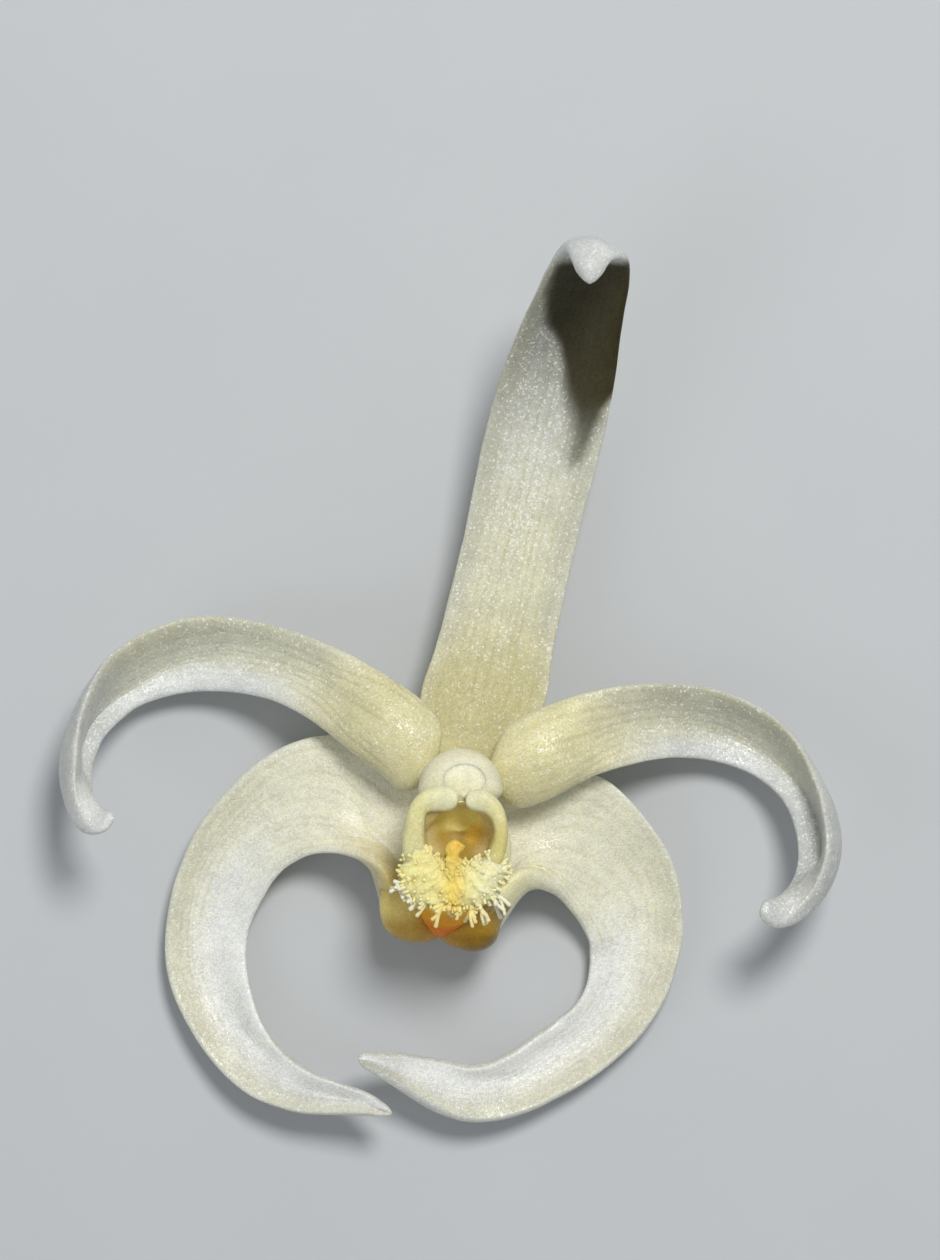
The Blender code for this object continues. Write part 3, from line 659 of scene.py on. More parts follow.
def petal_tint(look, u, v, side, veins):
    """Cream base, white blade: painted sheen towards one margin, painted shade where it turns and
    bends.
    """
    tint = plain_tint(u, v, veins, PETAL_STOPS)
    if side > 0:
        middle = smooth(u, 0.2, 0.4) * smooth(u, 0.9, 0.75)
        # Painted shade over the upper half, deepest where it turns away; a painted sheen on the lower
        # half.
        tint = blend_to(tint, PETAL_PAINTED_SHADE, 0.7 * middle * smooth(v, 0.6, 0))
        tint = blend_to(tint, PETAL_TURNED_SHADE, 0.75 * middle * smooth(v, -0.3, -0.9))
        tint = blend_to(tint, PETAL_PAINTED_SHEEN, 0.85 * middle * smooth(v, 0.1, 0.8))
    # Painted shade where the petal bends.
    tint = blend_to(tint, PETAL_BEND_SHADE, 0.7 * smooth(u, 0.6, 0.75) * smooth(u, 0.93, 0.85))
    # Painted light and shade: the right petal is painted lighter at its base, darker along its blade.
    base_light, light_loss = look["painted_light"]
    return tint * (base_light - light_loss * smooth(u, 0.1, 0.4))[..., None]


def lateral_tint(look, u, v, side, veins):
    """Cream to white, with a painted sheen and painted shade, and yellow where the sepal joins the
    chin.
    """
    tint = plain_tint(u, v, 0.6 * veins, LATERAL_STOPS)
    if side > 0:
        middle = smooth(u, 0.25, 0.45)
        # Painted shade where the sepal turns away; a painted sheen on the other side.
        tint = blend_to(tint, LATERAL_TURNED_SHADE, 0.6 * middle * smooth(v, -0.1, -0.8))
        tint = blend_to(tint, LATERAL_PAINTED_SHEEN, 0.8 * middle * smooth(v, -0.3, 0.4))
    # Yellow at the join to the chin; the right sepal's is painted pale, as painted light.
    return blend_to(tint, look["join"], smooth(u, 0.24, 0.08) * smooth(v, 0.1, 0.8))


# For each blade: the side of its net that faces up, the length rounded off at its base, where the
# hook's face is levelled and by how much, where across the face its painted glints are thickest,
# and the extra swelling of its base: mm high, from and to along it, and from and to across it.
DORSAL_LOOK = dict(
    net=DORSAL_SEPAL, face=1, seed=11, veins=13, edge_waves=0.04, base_round=0.0, level_from=1.0,
    level=0.0, sheen=-0.2, crown=(0.0, 1.0, 0.0, (-2.0, -1.0)), tint=dorsal_tint)
PETAL_LOOK = dict(
    veins=9, edge_waves=0.04, base_round=0.04, level_from=0.79, level=1.0, sheen=0.5,
    crown=(0.35, 0.35, 0.05, (-2.0, -1.0)), tint=petal_tint)
LATERAL_LOOK = dict(
    veins=10, edge_waves=0.05, base_round=0.0, sheen=0.3, crown=(0.9, 0.25, 0.1, (-0.2, 0.5)),
    tint=lateral_tint)
BLADES = {
    "dorsal_sepal": DORSAL_LOOK,
    "petal_left": dict(PETAL_LOOK, net=PETAL_LEFT, face=-1, seed=21, painted_light=(1.0, 0.0)),
    # Painted lighter at its base and darker along its blade: painted light and shade.
    "petal_right": dict(PETAL_LOOK, net=PETAL_RIGHT, face=1, seed=31, painted_light=(1.06, 0.15)),
    "lateral_sepal_left": dict(LATERAL_LOOK, net=LATERAL_LEFT, face=-1, seed=51, level_from=0.68,
                               level=0.6, join=(0.76, 0.60, 0.16)),
    # Its join: pale cream-yellow, painted lighter where it lies in shade (painted light).
    "lateral_sepal_right": dict(LATERAL_LOOK, net=LATERAL_RIGHT, face=1, seed=61, level_from=0.72,
                                level=0.8, join=(0.96, 0.90, 0.50)),
}


# ---- The chin: two lobes where the lateral sepals join the column's foot ----

CHIN_LEFT = [(-4.35, -13.1), (-4.5, -14.45), (-4.3, -15.6), (-3.7, -16.4), (-2.5, -16.85),
             (-1.3, -16.8), (-0.65, -16.5), (-0.5, -15.6), (-0.9, -14.4), (-1.7, -13.2), (-3.2, -12.3)]
CHIN_RIGHT = [(-0.65, -16.5), (0.38, -17.2), (2.0, -17.4), (2.95, -16.75), (3.45, -15.3),
              (4.0, -14.3), (3.4, -13.3), (1.2, -13.6), (-0.3, -14.9), (-0.8, -15.8)]
CHIN_MIDDLE = 5.2  # mm high
CHIN_HALF_HEIGHT = 2.35
CHIN_SIDES = 120
# Colours at their y, from the chin's foot up.
CHIN_LEFT_TINTS = [(-16.8, (0.52, 0.31, 0.03)), (-15.9, (0.68, 0.43, 0.06)),
                   (-14.7, (1.0, 0.78, 0.22)), (-13.2, (0.70, 0.54, 0.16))]
CHIN_RIGHT_TINTS = [(-17.3, (0.28, 0.15, 0.001)), (-16.6, (0.40, 0.22, 0.003)),
                    (-15.9, (0.68, 0.40, 0.02)), (-14.6, (0.46, 0.33, 0.08)),
                    (-13.4, (0.70, 0.60, 0.26))]
CHIN_ORANGE = (0.62, 0.30, 0.01)
CLAW_X = -0.6  # where the lip's claw passes between the two lobes


def chin(name, outline, stops, seed, material):
    """One plump lobe of the chin, tinted along its length and orange next to the lip's claw."""
    angle = np.linspace(0.04, np.pi - 0.04, 70)[:, None]
    edge = closed_curve(outline, CHIN_SIDES)
    flat, reach, lift = pillow(edge, edge.mean(axis=0), angle, 0.75, 0.8)
    band, lap = np.broadcast_arrays(angle / np.pi, np.linspace(0, 1, CHIN_SIDES))
    swell = 0.05 * waves(band, lap, (3, 7), seed)
    x, y = np.moveaxis(flat, -1, 0)
    tints = ramp(y, stops) * (1 - 0.4 * smooth(x, 1.6, 3))[..., None]
    tints = blend_to(tints, CHIN_ORANGE, 0.7 * smooth(np.abs(x - CLAW_X), 2, 0.5))
    rings = raised(flat, CHIN_MIDDLE + CHIN_HALF_HEIGHT * lift + swell * reach)
    make_piece(name, [(rings, tints)], material, 0.5)


# ---- The lip ----

RIM = [(0.5, -7.55), (-0.4, -7.5), (-1.3, -7.65), (-1.93, -8.2), (-2.14, -9.2), (-2.17, -10.5),
       (-1.5, -11.7), (0.1, -12.2), (2.0, -11.8), (2.9, -10.9), (3.2, -9.6), (3.0, -8.5),
       (2.45, -7.85), (1.8, -7.6), (1.08, -7.6)]
RIM_WALL = [1.6, 1.65, 1.5, 1.2, 1.25, 1.5, 1.4, 1.2, 1.2, 1.1, 0.9, 1.0, 1.3, 1.45, 1.4]
RIM_HEIGHT = 12.95
RIM_DROP = 0.95  # mm, how far the wall under the rim stands upright
RIM_ROUNDING = 0.06  # of the length
RIM_POWER = 2.6  # of the rim's rounded section
SIDE_POWER = 22.0  # of the section at the trough's two sides, nearly square
LIP_GREEN = (0.74, 0.70, 0.37)
LIP_PALE = (0.80, 0.79, 0.53)
LEMON = (0.95, 0.86, 0.40)
PALE_LEMON = (0.94, 0.89, 0.54)
GOLD = (0.97, 0.76, 0.20)
DEEP_ORANGE = (0.93, 0.22, 0.001)
LIP_OLIVE = (0.66, 0.58, 0.22)
# The mouth's inside: olive-gold with painted shade, painted light on its wall under the pads, and a
# painted glow.
THROAT_GOLD_AND_SHADE = (0.46, 0.325, 0.07)
THROAT_TOP_LIGHT = (1.0, 0.86, 0.36)
THROAT_SIDE = (0.82, 0.70, 0.42)
THROAT_GLOW = (0.84, 0.57, 0.10)
CLAW_STOPS = [(0.0, DEEP_ORANGE), (0.12, DEEP_ORANGE), (0.25, (0.95, 0.43, 0.02)),
              (0.4, (0.98, 0.60, 0.07))]
INSIDE_STOPS = CLAW_STOPS + [(0.5, GOLD), (0.6, THROAT_GOLD_AND_SHADE), (0.8, (0.66, 0.54, 0.22)), (1.0, LIP_GREEN)]
OUTSIDE_STOPS = CLAW_STOPS + [(0.5, LEMON), (0.8, LIP_PALE), (1.0, LIP_GREEN)]


def lip_net():
    """The trough as a net: its arcs, then the rim."""
    net = []
    for (x, y, z), half_width, depth, half_angle, _ in LIP_ARCS:
        turn = radians(half_angle) * np.linspace(-1, 1, len(RIM))
        arc = np.stack([x + half_width * np.sin(turn), y - depth * np.cos(turn)], axis=1)
        net.append(raised(arc, z))
    return net + [raised(np.array(RIM), RIM_HEIGHT - drop) for drop in (RIM_DROP, 0)]


def lip_trough(material):
    """The lip's claw and trough, up to its thick rolled rim and the two pads on it."""
    along = np.concatenate([np.linspace(0, 1 - RIM_ROUNDING, 90, endpoint=False),
                            rounded_end(RIM_ROUNDING, 26)])
    across = across_steps(120)
    middle = net_surface(lip_net(), along, across)
    normal = normals_of(middle)
    u, v = np.broadcast_arrays(along[:, None], across[None, :])
    shares = [arc[4] for arc in LIP_ARCS] + [1, 1]
    wall = ramp(u, [(k, LIP_WALL * s) for k, s in zip(np.linspace(0, 1, len(shares)), shares)])
    columns = np.linspace(-1, 1, len(RIM))
    rim_wall = spline(columns, np.array(RIM_WALL)[:, None], across)[:, 0]
    rim_share = smooth(u, 0.7, 1)
    wall = wall * (1 - rim_share) + rim_wall[None, :] * rim_share
    inward = np.clip((u - 1 + RIM_ROUNDING) / RIM_ROUNDING, 0, 1)
    rounding = np.clip(1 - inward ** RIM_POWER, 0.0002, None) ** (1 / RIM_POWER)
    profile = np.clip(1 - np.abs(v) ** SIDE_POWER, 0, None) ** 0.5 * rounding
    depth = (0.5 * wall + 0.03 * waves(u, 0.5 + 0.5 * v, (10, 16), 41)) * profile
    front = middle + normal * depth[..., None]
    back = middle - normal * depth[..., None]
    inside = ramp(u, INSIDE_STOPS)
    outside = ramp(u, OUTSIDE_STOPS)
    pads = smooth(np.abs(v), 0.6, 0.85)
    inside = blend_to(inside, LIP_GREEN, smooth(u, 0.86, 0.95))
    inside = blend_to(inside, LIP_PALE, pads * smooth(u, 0.9, 0.97))
    outside = blend_to(outside, LIP_PALE, pads * smooth(u, 0.8, 0.95))
    low_right = 0.8 * smooth(u, 0.7, 0.9) * smooth(v, -0.1, 0.3) * smooth(v, 0.6, 0.4)
    inside = blend_to(inside, LIP_OLIVE, low_right)
    outside = blend_to(outside, LIP_OLIVE, low_right)
    skins = [(wrap(front, back), wrap(outside, inside))]
    piece = make_piece("lip_trough", skins, material)
    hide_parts("lip")


def oval(centre, half, turn, front=None):
    """Points around an oval; front is its half depth on the mouth's side, where that differs."""
    depth = np.where(np.sin(turn) < 0, half[1] if front is None else front, half[1])
    return np.stack([centre[0] + half[0] * np.cos(turn), centre[1] + depth * np.sin(turn)], axis=-1)


BOWL_CENTRE = np.array((0.6, -9.6))
BOWL_HALF = (2.35, 1.95)
BOWL_FLOOR = 9.3  # mm high
BOWL_DEPTH = 2.7
BOWL_WALL = 0.35
RIDGE_X = 0.95  # of the pale ridge down the column's face


def throat(material):
    """The bowl inside the lip's mouth, where the column's face and the lip's sides meet."""
    turn = around(96)
    x, y = np.cos(turn), np.sin(turn)
    corners = (np.abs(x) ** 3 + np.abs(y) ** 3) ** (-1 / 3) - 1
    shares = np.linspace(0.03, 1, 36)
    step = np.concatenate([shares, shares[::-1]])[:, None]
    wall = np.repeat([0, BOWL_WALL], len(shares))[:, None]
    flat = oval(BOWL_CENTRE, [half * step + 0.3 * wall for half in BOWL_HALF], turn)
    flat = BOWL_CENTRE + (flat - BOWL_CENTRE) * (1 + corners * step)[..., None]
    rings = raised(flat, BOWL_FLOOR + BOWL_DEPTH * step ** 2.6 - wall)
    rise = smooth(step, 0.45, 0.9)
    ridge = bell(flat[..., 0], RIDGE_X, 0.3) * smooth(y, 0.2, 0.8)
    glow = smooth(np.cos(turn + 0.2), 0.5, 0.95) * smooth(step, 0.1, 0.35) * smooth(step, 0.7, 0.4)
    # Painted light on the side under the pads, painted shade on the far side, and a painted glow on the
    # right.
    tints = blend_to(np.array(THROAT_GOLD_AND_SHADE), THROAT_TOP_LIGHT, smooth(y, -0.3, 0.7))
    tints = blend_to(tints, THROAT_SIDE, 0.8 * rise * smooth(np.abs(x), 0.3, 0.8))
    tints = blend_to(tints, THROAT_SIDE, 0.7 * rise * ridge)
    tints = blend_to(tints, THROAT_GLOW, 0.6 * glow)
    make_piece("throat_lining", [(rings, tints)], material)


# ---- The column and the anther cap ----

COLUMN_WHITE = (0.86, 0.82, 0.595)
COLUMN_OLIVE = (0.62, 0.56, 0.24)
FOOT_ORANGE = (0.78, 0.50, 0.12)
TAN = (0.84, 0.72, 0.42)
CAP_CREAM = (0.90, 0.87, 0.64)
CAP_BEAK = (0.88, 0.80, 0.50)
CAP_LIFT = 0.2  # mm, how far the cap sits back from the mouth
CAP_HALF = (1.7, 1.3, 1.1)  # mm, half its size with the part sunk in the hood
CAP_SHOWN = 0.78  # of its width stands clear of the hood
HOOD_CENTRE = (0.7, -7.0)
HOOD_HALF = (2.65, 2.65)
HOOD_FRONT = 1.0  # mm, its reach towards the mouth
HOOD_RIM_HEIGHT = 11.83  # mm, at the edge of the cap's socket
HOOD_EDGE_HEIGHT = 9.9  # mm, at the hood's widest
SOCKET_DEPTH = 1.0
FOOT_STEPS = 60
FOOT_WIDTHS = [(0.0, 1.0), (0.25, 2.0), (0.6, 2.0), (0.8, 0.9), (1.0, 0.3)]
FOOT_HALF_DEPTH = 0.55  # mm


def column(material):
    """The column: socket for the anther cap, hood, waist and base, and its foot."""
    turn = around(120)
    middle = np.array(ANTHER_CENTRE[:2]) + (0, CAP_LIFT)
    rim = oval(middle, CAP_SHOWN * np.array(CAP_HALF[:2]), turn)
    outline = oval(HOOD_CENTRE, HOOD_HALF, turn, HOOD_FRONT)
    floor = HOOD_RIM_HEIGHT - SOCKET_DEPTH
    socket_share = np.linspace(0.05, 0.98, 8)[:, None, None]
    wall_height = np.linspace(floor, HOOD_RIM_HEIGHT - 0.06, 6)[:, None]
    step = np.linspace(0, np.pi / 2, 40)[:, None]
    hood_share = np.sin(step) ** 1.1
    hood_height = HOOD_EDGE_HEIGHT + (HOOD_RIM_HEIGHT - HOOD_EDGE_HEIGHT) * np.cos(step) ** 0.9
    levels = np.array(COLUMN_LEVELS).T
    height = np.linspace(HOOD_EDGE_HEIGHT, levels[0, 0], 60)[1:, None]
    lower = [np.interp(height, levels[0], level) for level in levels[1:]]
    below = oval(lower[:2], lower[2:], turn)
    waist_share = smooth(height, HOOD_EDGE_HEIGHT - 3, HOOD_EDGE_HEIGHT)
    rings = np.concatenate([
        raised(middle + (rim - middle) * socket_share, floor),
        raised(rim + np.zeros((len(wall_height), 1, 2)), wall_height),
        raised(rim + (outline - rim) * hood_share[..., None], hood_height),
        raised(below + (outline - below) * waist_share[..., None], height)])
    tan = np.concatenate([np.ones((len(socket_share) + len(wall_height), 1)),
                          0.2 * smooth(hood_share, 0.05, 0), np.zeros(height.shape)])
    olive = smooth(-np.sin(turn), 0.2, 0.8) * smooth(rings[..., 2], 10.5, 9.5)
    tints = blend_to(blend_to(np.array(COLUMN_WHITE), TAN, tan), COLUMN_OLIVE, olive)
    foot = spline(chord_knots(FOOT_PATH), FOOT_PATH, np.linspace(0, 0.9, FOOT_STEPS))
    wide = tube(foot, np.ones(FOOT_STEPS), 40) - foot[:, None]
    wide[..., 0] *= ramp(np.linspace(0, 1, FOOT_STEPS), FOOT_WIDTHS)[:, None]
    wide[..., 1:] *= FOOT_HALF_DEPTH
    skins = [(rings, tints), (foot[:, None] + wide, FOOT_ORANGE)]
    piece = make_piece("column_flesh", skins, material)
    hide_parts("column")


def anther(material):
    """The anther cap: a low cream dome with a faint groove between its two halves, and a beak."""
    angle = np.linspace(0.03, np.pi - 0.03, 70)[:, None]
    reach = np.sin(angle)
    turn = around(120)
    x = reach * np.cos(turn)
    y = reach * np.sin(turn)
    lift = CAP_HALF[2] * np.sign(np.cos(angle)) * (1 - reach ** 3) ** (1 / 3)
    up = smooth(lift, 0, 0.6)
    groove = bell(x, 0, 0.15) * smooth(y, 0.9, 0.3)
    beak = bell(x, -0.02, 0.16) * smooth(-y, 0.5, 0.8)
    rings = np.stack([CAP_HALF[0] * x, CAP_HALF[1] * y + CAP_LIFT,
                      lift + up * (0.2 * beak - 0.06 * groove)], axis=-1) + ANTHER_CENTRE
    tints = blend_to(np.array(CAP_CREAM), CAP_BEAK, beak)
    flanks = smooth(np.hypot(x, y), CAP_SHOWN - 0.16, CAP_SHOWN) * smooth(np.abs(x), 0.2, 0.6)
    tints = blend_to(tints, TAN, 0.35 * flanks)
    piece = make_piece("anther_cap_skin", [(rings, tints)], material)
    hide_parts("anther_cap")


# ---- The lip's midlobe, callus and fringe ----

MIDLOBE = [(-2.15, -10.4), (-2.75, -11.4), (-2.95, -12.3), (-2.6, -13.2), (-1.9, -13.8),
           (-1.0, -14.0), (0.2, -14.1), (1.3, -14.0), (2.3, -13.8), (2.95, -13.0), (3.4, -12.2),
           (3.35, -11.5), (2.4, -11.2), (1.5, -11.4), (0.4, -11.6), (-0.5, -11.35), (-1.1, -11.0),
           (-1.7, -10.4)]
MIDLOBE_MIDDLE = 12.3  # mm high
MIDLOBE_HALF_HEIGHT = 0.75
MIDLOBE_SIDES = 260
HUMPS = [(-1.75, -11.9, 0.9, 0.35), (1.95, -12.4, 1.1, 0.35), (0.25, -12.8, 0.6, -0.15)]
FAN_FROM = (0.4, -10.6)  # where the midlobe's ruffles spread from
RUFFLES = [(5.0, 0.8, 0.15), (10.0, 1.6, 0.06)]  # per radian, per mm, height in mm
CRINKLES = [(2.3, 0.05), (5.0, 0.012)]  # per mm, height in mm
# Low papillae on the top and longer ones round the rim: longest in mm, rows of the cushion, number.
PAPILLAE = [(0.05, 12, 48, 60), (0.34, 52, 84, 170)]
HAIR_GOLD = (0.90, 0.76, 0.32)
HAIR_CREAM = (0.90, 0.88, 0.68)
# Tufts of hairs: root, heading, length in mm and number of branches.
FRINGE = [((-2.4, -12.6, 12.6), (-1.0, -0.45, 0.0), 1.4, 6),
          ((-2.4, -12.8, 12.5), (-0.3, -1.0, 0.0), 1.2, 5),
          ((-1.6, -13.3, 12.4), (-0.7, -0.8, -0.1), 1.5, 5),
          ((-1.0, -13.4, 12.5), (-0.5, -0.9, 0.0), 1.2, 4),
          ((-0.2, -13.5, 12.7), (-0.45, -1.0, 0.1), 1.8, 4),
          ((0.1, -13.5, 12.7), (-0.15, -1.0, 0.1), 1.8, 4),
          ((0.4, -13.5, 12.6), (0.15, -1.0, 0.0), 1.4, 3),
          ((1.0, -13.6, 12.5), (0.1, -0.9, 0.0), 1.1, 3),
          ((1.4, -13.8, 12.5), (0.05, -1.0, 0.0), 1.8, 6),
          ((1.8, -13.8, 12.4), (0.15, -1.0, 0.0), 1.5, 4),
          ((2.7, -13.2, 12.5), (0.15, -1.0, 0.0), 1.5, 6),
          ((2.9, -13.0, 12.5), (0.5, -0.9, 0.0), 1.3, 5),
          ((3.0, -11.9, 12.6), (1.0, 0.15, 0.1), 0.7, 4),
          ((-2.6, -12.6, 12.6), (-0.8, -0.3, 0.1), 1.1, 6),
          ((-2.5, -12.9, 12.5), (-0.7, -0.9, 0.0), 1.1, 6)]


def finger(path, radius, tint):
    """One blunt hair or papilla along a path, with a round end: its rings and its tint."""
    swell = radius * (1 + 0.12 * np.sin(np.linspace(0, 7, len(path))))
    ahead = path[-1] - path[-2]
    ahead = ahead / np.linalg.norm(ahead)
    turn = np.linspace(0, 1.5, 5)[1:]
    cap = path[-1] + ahead * radius * np.sin(turn)[:, None]
    radii = np.concatenate([swell, swell[-1] * np.cos(turn)])
    return tube(np.concatenate([path, cap]), radii, 8), tint


def bent_path(root, direction, length, rng, bend, count=7):
    """A gently bending path of that length."""
    direction = np.asarray(direction, float)
    direction = direction / np.linalg.norm(direction)
    turn = rng.normal(0, bend, 3)
    share = np.linspace(0, 1, count)[:, None]
    return np.asarray(root) + length * (direction * share + turn * share ** 2)


def noise_at(spots):
    """Smooth noise, read at each spot of a grid."""
    return np.array([[noise.noise(Vector(spot)) for spot in row] for row in spots])


def ridged(spots):
    """Sharp ridges and soft hollows between -1 and 1, read at each spot."""
    return 1 - 2.5 * np.abs(noise_at(spots))


def crinkle(points, away):
    """Points pushed along away by ruffles that fan out, and by finer crinkles."""
    x = points[..., 0] - FAN_FROM[0]
    y = points[..., 1] - FAN_FROM[1]
    spread = np.arctan2(x, -y)
    reach = np.hypot(x, y)
    shift = np.zeros(x.shape)
    for per_turn, per_mm, height in RUFFLES:
        shift += height * ridged(np.stack([spread * per_turn, reach * per_mm, points[..., 2]], axis=-1))
    for per_mm, height in CRINKLES:
        shift += height * ridged(points * per_mm)
    return points + away * shift[..., None]


def cushion():
    """The rings of the midlobe's ruffled cushion, and the direction away from it at each point."""
    angle = np.linspace(0.03, np.pi - 0.03, 150)[:, None]
    edge = closed_curve(MIDLOBE, MIDLOBE_SIDES)
    flat, _, lift = pillow(edge, edge.mean(axis=0) - (0, 0.3), angle, 0.8, 0.7)
    height = MIDLOBE_MIDDLE + MIDLOBE_HALF_HEIGHT * lift
    for x, y, width, rise in HUMPS:
        off = np.hypot(flat[..., 0] - x, flat[..., 1] - y)
        height = height + rise * bell(off, 0, width) * smooth(lift, -0.2, 0.6)
    rings = raised(flat, height)
    away = normals_of(rings)
    if away[10, :, 2].mean() < 0:
        away = -away
    return crinkle(rings, away), away


def lobe_tint(points):
    """The midlobe's colour: golden along its middle, palest on its right."""
    across = points[..., 0]
    tints = blend_to(np.array(LEMON), PALE_LEMON, smooth(across, 0.6, 2.4))
    return blend_to(tints, GOLD, bell(across, 0.25, 0.7))


def midlobe(material, hair_material):
    """The midlobe's ruffled lemon cushion, and its papillae: blunt, and longest round the rim."""
    rings, away = cushion()
    make_piece("lip_midlobe", [(rings, lobe_tint(rings))], material)
    rng = np.random.default_rng(7)
    papillae = []
    for longest, low, high, number in PAPILLAE:
        for _ in range(number):
            row = rng.integers(low, high)
            column = rng.integers(rings.shape[1])
            root = rings[row, column]
            heading = away[row, column] * (1, 1, 0.6) + rng.normal(0, 0.25, 3)
            reach = longest * (1 if root[0] > -1.5 else 0.6) * rng.uniform(0.3, 1)
            path = bent_path(root - 0.06 * away[row, column], heading, 0.06 + reach, rng, 0.06, 4)
            papillae.append(finger(path, rng.uniform(0.08, 0.12), lobe_tint(root)))
    make_piece("lip_papillae", papillae, hair_material)


def fringe(material):
    """The branched hairs along the midlobe's end and sides."""
    rng = np.random.default_rng(17)
    hairs = []
    for root, heading, length, branches in FRINGE:
        tint = blend_to(np.array(HAIR_GOLD), HAIR_CREAM, smooth(abs(root[0] - FAN_FROM[0]), 0.8, 2.2))
        stalk = bent_path(root, heading, 0.5 * length, rng, 0.12)
        hairs.append(finger(stalk, 0.17, tint))
        for _ in range(branches):
            start = stalk[rng.integers(1, 7)]
            lean = np.asarray(heading) / np.linalg.norm(heading) + rng.normal(0, 0.38, 3)
            path = bent_path(start, lean, rng.uniform(0.3, 0.6) * length, rng, 0.25 * length)
            hairs.append(finger(path, rng.uniform(0.1, 0.14), tint * rng.uniform(0.95, 1.02)))
    make_piece("lip_fringe", hairs, material)


# The knob's stations from its ridge's lower end: place, half width and half height.
CALLUS = [((0.1, -13.2, 12.6), 0.4, 0.25), ((0.15, -12.2, 12.8), 0.4, 0.3),
          ((0.2, -11.6, 13.0), 0.42, 0.3), ((0.22, -11.1, 13.2), 0.38, 0.3),
          ((0.26, -10.8, 13.3), 0.36, 0.3), ((0.3, -10.55, 13.35), 0.5, 0.36),
          ((0.36, -10.32, 13.35), 0.52, 0.34), ((0.42, -10.12, 13.35), 0.4, 0.24),
          ((0.45, -10.04, 13.35), 0.08, 0.05)]
CALLUS_STOPS = [(0.0, GOLD), (0.5, (1.0, 0.76, 0.22)), (0.8, (1.0, 0.66, 0.14)),
                (1.0, (1.0, 0.62, 0.12))]


def callus(material):
    """The orange knob that stands in the mouth, and its ridge down the midlobe."""
    path = np.array([station[0] for station in CALLUS])
    sizes = np.array([station[1:] for station in CALLUS])
    knots = chord_knots(path)
    along = np.linspace(0, 1, 70)
    centre = spline(knots, path, along)
    size = spline(knots, sizes, along)
    turn = around(40)
    rings = np.repeat(centre[:, None], len(turn), axis=1)
    rings[..., 0] += size[:, :1] * np.cos(turn)
    rings[..., 2] += size[:, 1:] * np.sin(turn)
    rings[..., 1] += 0.12 * np.sin(5 * rings[..., 0]) * smooth(rings[..., 1], -10.8, -10.2)
    rings = rings + (rings - centre[:, None]) * (0.3 * noise_at(rings * 3.5))[..., None]
    tints = np.repeat(ramp(along, CALLUS_STOPS)[:, None], len(turn), axis=1)
    make_piece("lip_callus", [(rings, tints)], material)


# ---- The ovary and the pedicel ----

STEM_STOPS = [(0.0, (0.66, 0.68, 0.38)), (0.2, (0.56, 0.61, 0.28)), (0.6, (0.47, 0.54, 0.22)),
              (0.93, (0.42, 0.48, 0.19)), (1.0, (0.45, 0.42, 0.20))]
STEM_RIBS = 6
RIB_HIGHLIGHT = (0.62, 0.66, 0.38)
STEM_BROWN = (0.38, 0.30, 0.13)
CUT_FACE = (0.70, 0.72, 0.46)
CUT_STRANDS = (0.55, 0.50, 0.26)
CUT_DEPTH = 0.12  # mm, how far the cut end is hollowed as it dries


def pedicel(material):
    """The ribbed ovary and its stalk, down to the cut end."""
    path = np.array(PEDICEL_PATH)
    knots = chord_knots(path)
    along = np.linspace(0, 1, 200)
    centre = spline(knots, path, along)
    radii = spline(knots, np.array(PEDICEL_RADII)[:, None], along)[:, 0]
    turn = around(96)
    rings = tube(centre, radii, len(turn))
    u, lap = np.broadcast_arrays(along[:, None], turn[None] / 6.3)
    grain = waves(u, lap, (30, 9), 81)
    rib = np.abs(np.cos(0.5 * STEM_RIBS * turn))
    rib_depth = 0.1 * smooth(u, 0.5, 0.25) + 0.025
    push = rib_depth * (rib - 1) + 0.01 * grain
    rings = rings + (rings - centre[:, None]) * push[..., None]
    # The ribs' crests are painted lighter: a painted highlight.
    tints = blend_to(ramp(u, STEM_STOPS), RIB_HIGHLIGHT, 0.35 * rib)
    tints = blend_to(tints, STEM_BROWN, 0.25 * smooth(grain, 0.5, 1.2))
    ahead = centre[-1] - centre[-2]
    ahead = ahead / np.linalg.norm(ahead)
    share = np.linspace(0.96, 0.04, 16)[:, None]
    dip = CUT_DEPTH * (1 - share ** 2)
    face = centre[-1] + (rings[-1] - centre[-1]) * share[..., None] - ahead * dip[..., None]
    strands = 0.5 + 0.5 * np.cos(9 * turn + 7 * share)
    face_tints = blend_to(np.array(CUT_FACE), CUT_STRANDS, 0.5 * strands * share)
    skins = [(np.concatenate([rings, face]), np.concatenate([tints, face_tints]))]
    piece = make_piece("pedicel_skin", skins, material)
    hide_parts("pedicel_ovary")


# ---- The studio ----

CAMERA_ABOVE = (1.3, 3.1, 300.0)  # mm of the layout, straight above
CAMERA_LENS = 131.7
LIT_POINT = (0.0, 0.0, 0.006)
FLOOR_GREYS = ((0.54, 0.56, 0.58, 1.0), (0.57, 0.59, 0.61, 1.0))
SKY = (0.95, 0.98, 1.0, 1.0)
SKY_STRENGTHS = (0.3, 0.8)  # on the flower, and as the camera sees it


def studio_floor():
    """A round pale floor under the flower."""
    mesh = bpy.data.meshes.new("floor")
    work = bmesh.new()
    bmesh.ops.create_circle(work, cap_ends=True, segments=96, radius=0.9)
    work.to_mesh(mesh)
    work.free()
    floor = show("floor", mesh)
    mesh.materials.append(grained("floor_paint", 60, 3, *FLOOR_GREYS, 0.9, 0.1))


def area_light(name, direction, distance, size, power, colour):
    """A round soft light that shines on the flower from that direction."""
    lamp = bpy.data.lights.new(name, "AREA")
    lamp.shape = "DISK"
    lamp.size = size
    lamp.energy = power
    lamp.color = colour
    made = show(name, lamp)
    aim = Vector(direction).normalized()
    made.location = Vector(LIT_POINT) + aim * distance
    made.rotation_euler = aim.to_track_quat("Z", "Y").to_euler()


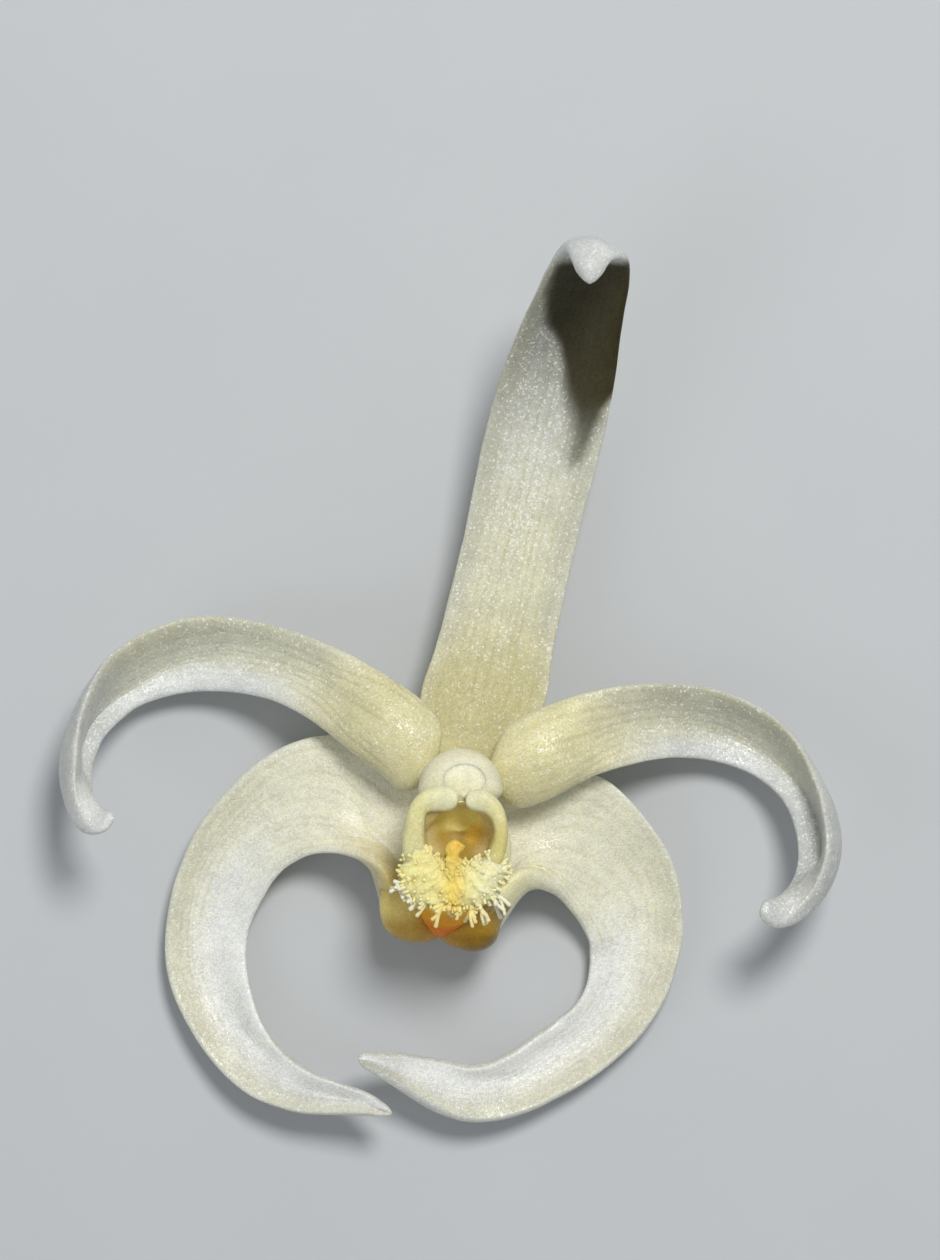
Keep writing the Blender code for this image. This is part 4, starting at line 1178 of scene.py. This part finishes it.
def lighting():
    """A key light from the upper right, a cooler fill from the lower left, and the sky."""
    area_light("key", (0.22, 0.45, 1), 0.45, 0.13, 1.45, (1, 0.98, 0.95))
    area_light("fill", (-0.8, -0.5, 0.8), 0.5, 0.35, 0.3, (0.93, 0.97, 1))
    world = bpy.data.worlds.new("studio")
    world.use_nodes = True
    tree = world.node_tree
    seen = add_node(tree, "ShaderNodeLightPath").outputs["Is Camera Ray"]
    feed(tree, tree.nodes["Background"], {"Color": SKY, "Strength": rescale(tree, seen, SKY_STRENGTHS)})
    bpy.context.scene.world = world


def camera():
    """The camera, straight above the flower."""
    data = bpy.data.cameras.new("camera")
    data.lens = CAMERA_LENS
    data.sensor_width = 36
    data.clip_start = 0.01
    made = show("camera", data)
    made.location = place(CAMERA_ABOVE)
    bpy.context.scene.camera = made


# ---- The flower ----

PETAL_CELLS = dict(cell=0.11, relief=0.024, glints=0.62, light_depth=0.9, light_share=0.4)
LOBE_CELLS = dict(cell=0.06, relief=0.002, glints=0.1, roughness=0.6, light_depth=0.6, gloss=0.2)
tepal_material = flesh("tepal_flesh", roughness=0.3, gloss=0.5, **PETAL_CELLS)
dull_material = flesh("dull_flesh", roughness=0.38, gloss=0.2, **PETAL_CELLS)
smooth_material = flesh("smooth_flesh", cell=0.1, relief=0.003, glints=0.05, roughness=0.45,
                        light_depth=0.9, light_share=0.6, gloss=0.22)
cushion_material = flesh("cushion_flesh", light_share=0.8, **LOBE_CELLS)
papilla_material = flesh("papilla_flesh", light_share=0.0, **LOBE_CELLS)
wax_material = grained("pollinia_wax", 6000.0, 2.0, (0.86, 0.66, 0.16, 1.0), (0.74, 0.50, 0.08, 1.0),
                       0.35, 0.5)

for blade, blade_look in BLADES.items():
    tepal(blade, blade_look, dull_material if blade == "dorsal_sepal" else tepal_material)
chin("chin_left", CHIN_LEFT, CHIN_LEFT_TINTS, 71, tepal_material)
chin("chin_right", CHIN_RIGHT, CHIN_RIGHT_TINTS, 72, tepal_material)
lip_trough(smooth_material)
throat(smooth_material)
midlobe(cushion_material, papilla_material)
fringe(papilla_material)
callus(cushion_material)
column(smooth_material)
anther(smooth_material)
pedicel(smooth_material)
# The pollinia lie hidden under the anther cap and keep their own solids.
for node in ("pollinia_left", "pollinia_right"):
    frame["nodes"][node].data.materials[0] = wax_material

studio_floor()
lighting()
camera()
bpy.context.scene.view_settings.view_transform = "Standard"
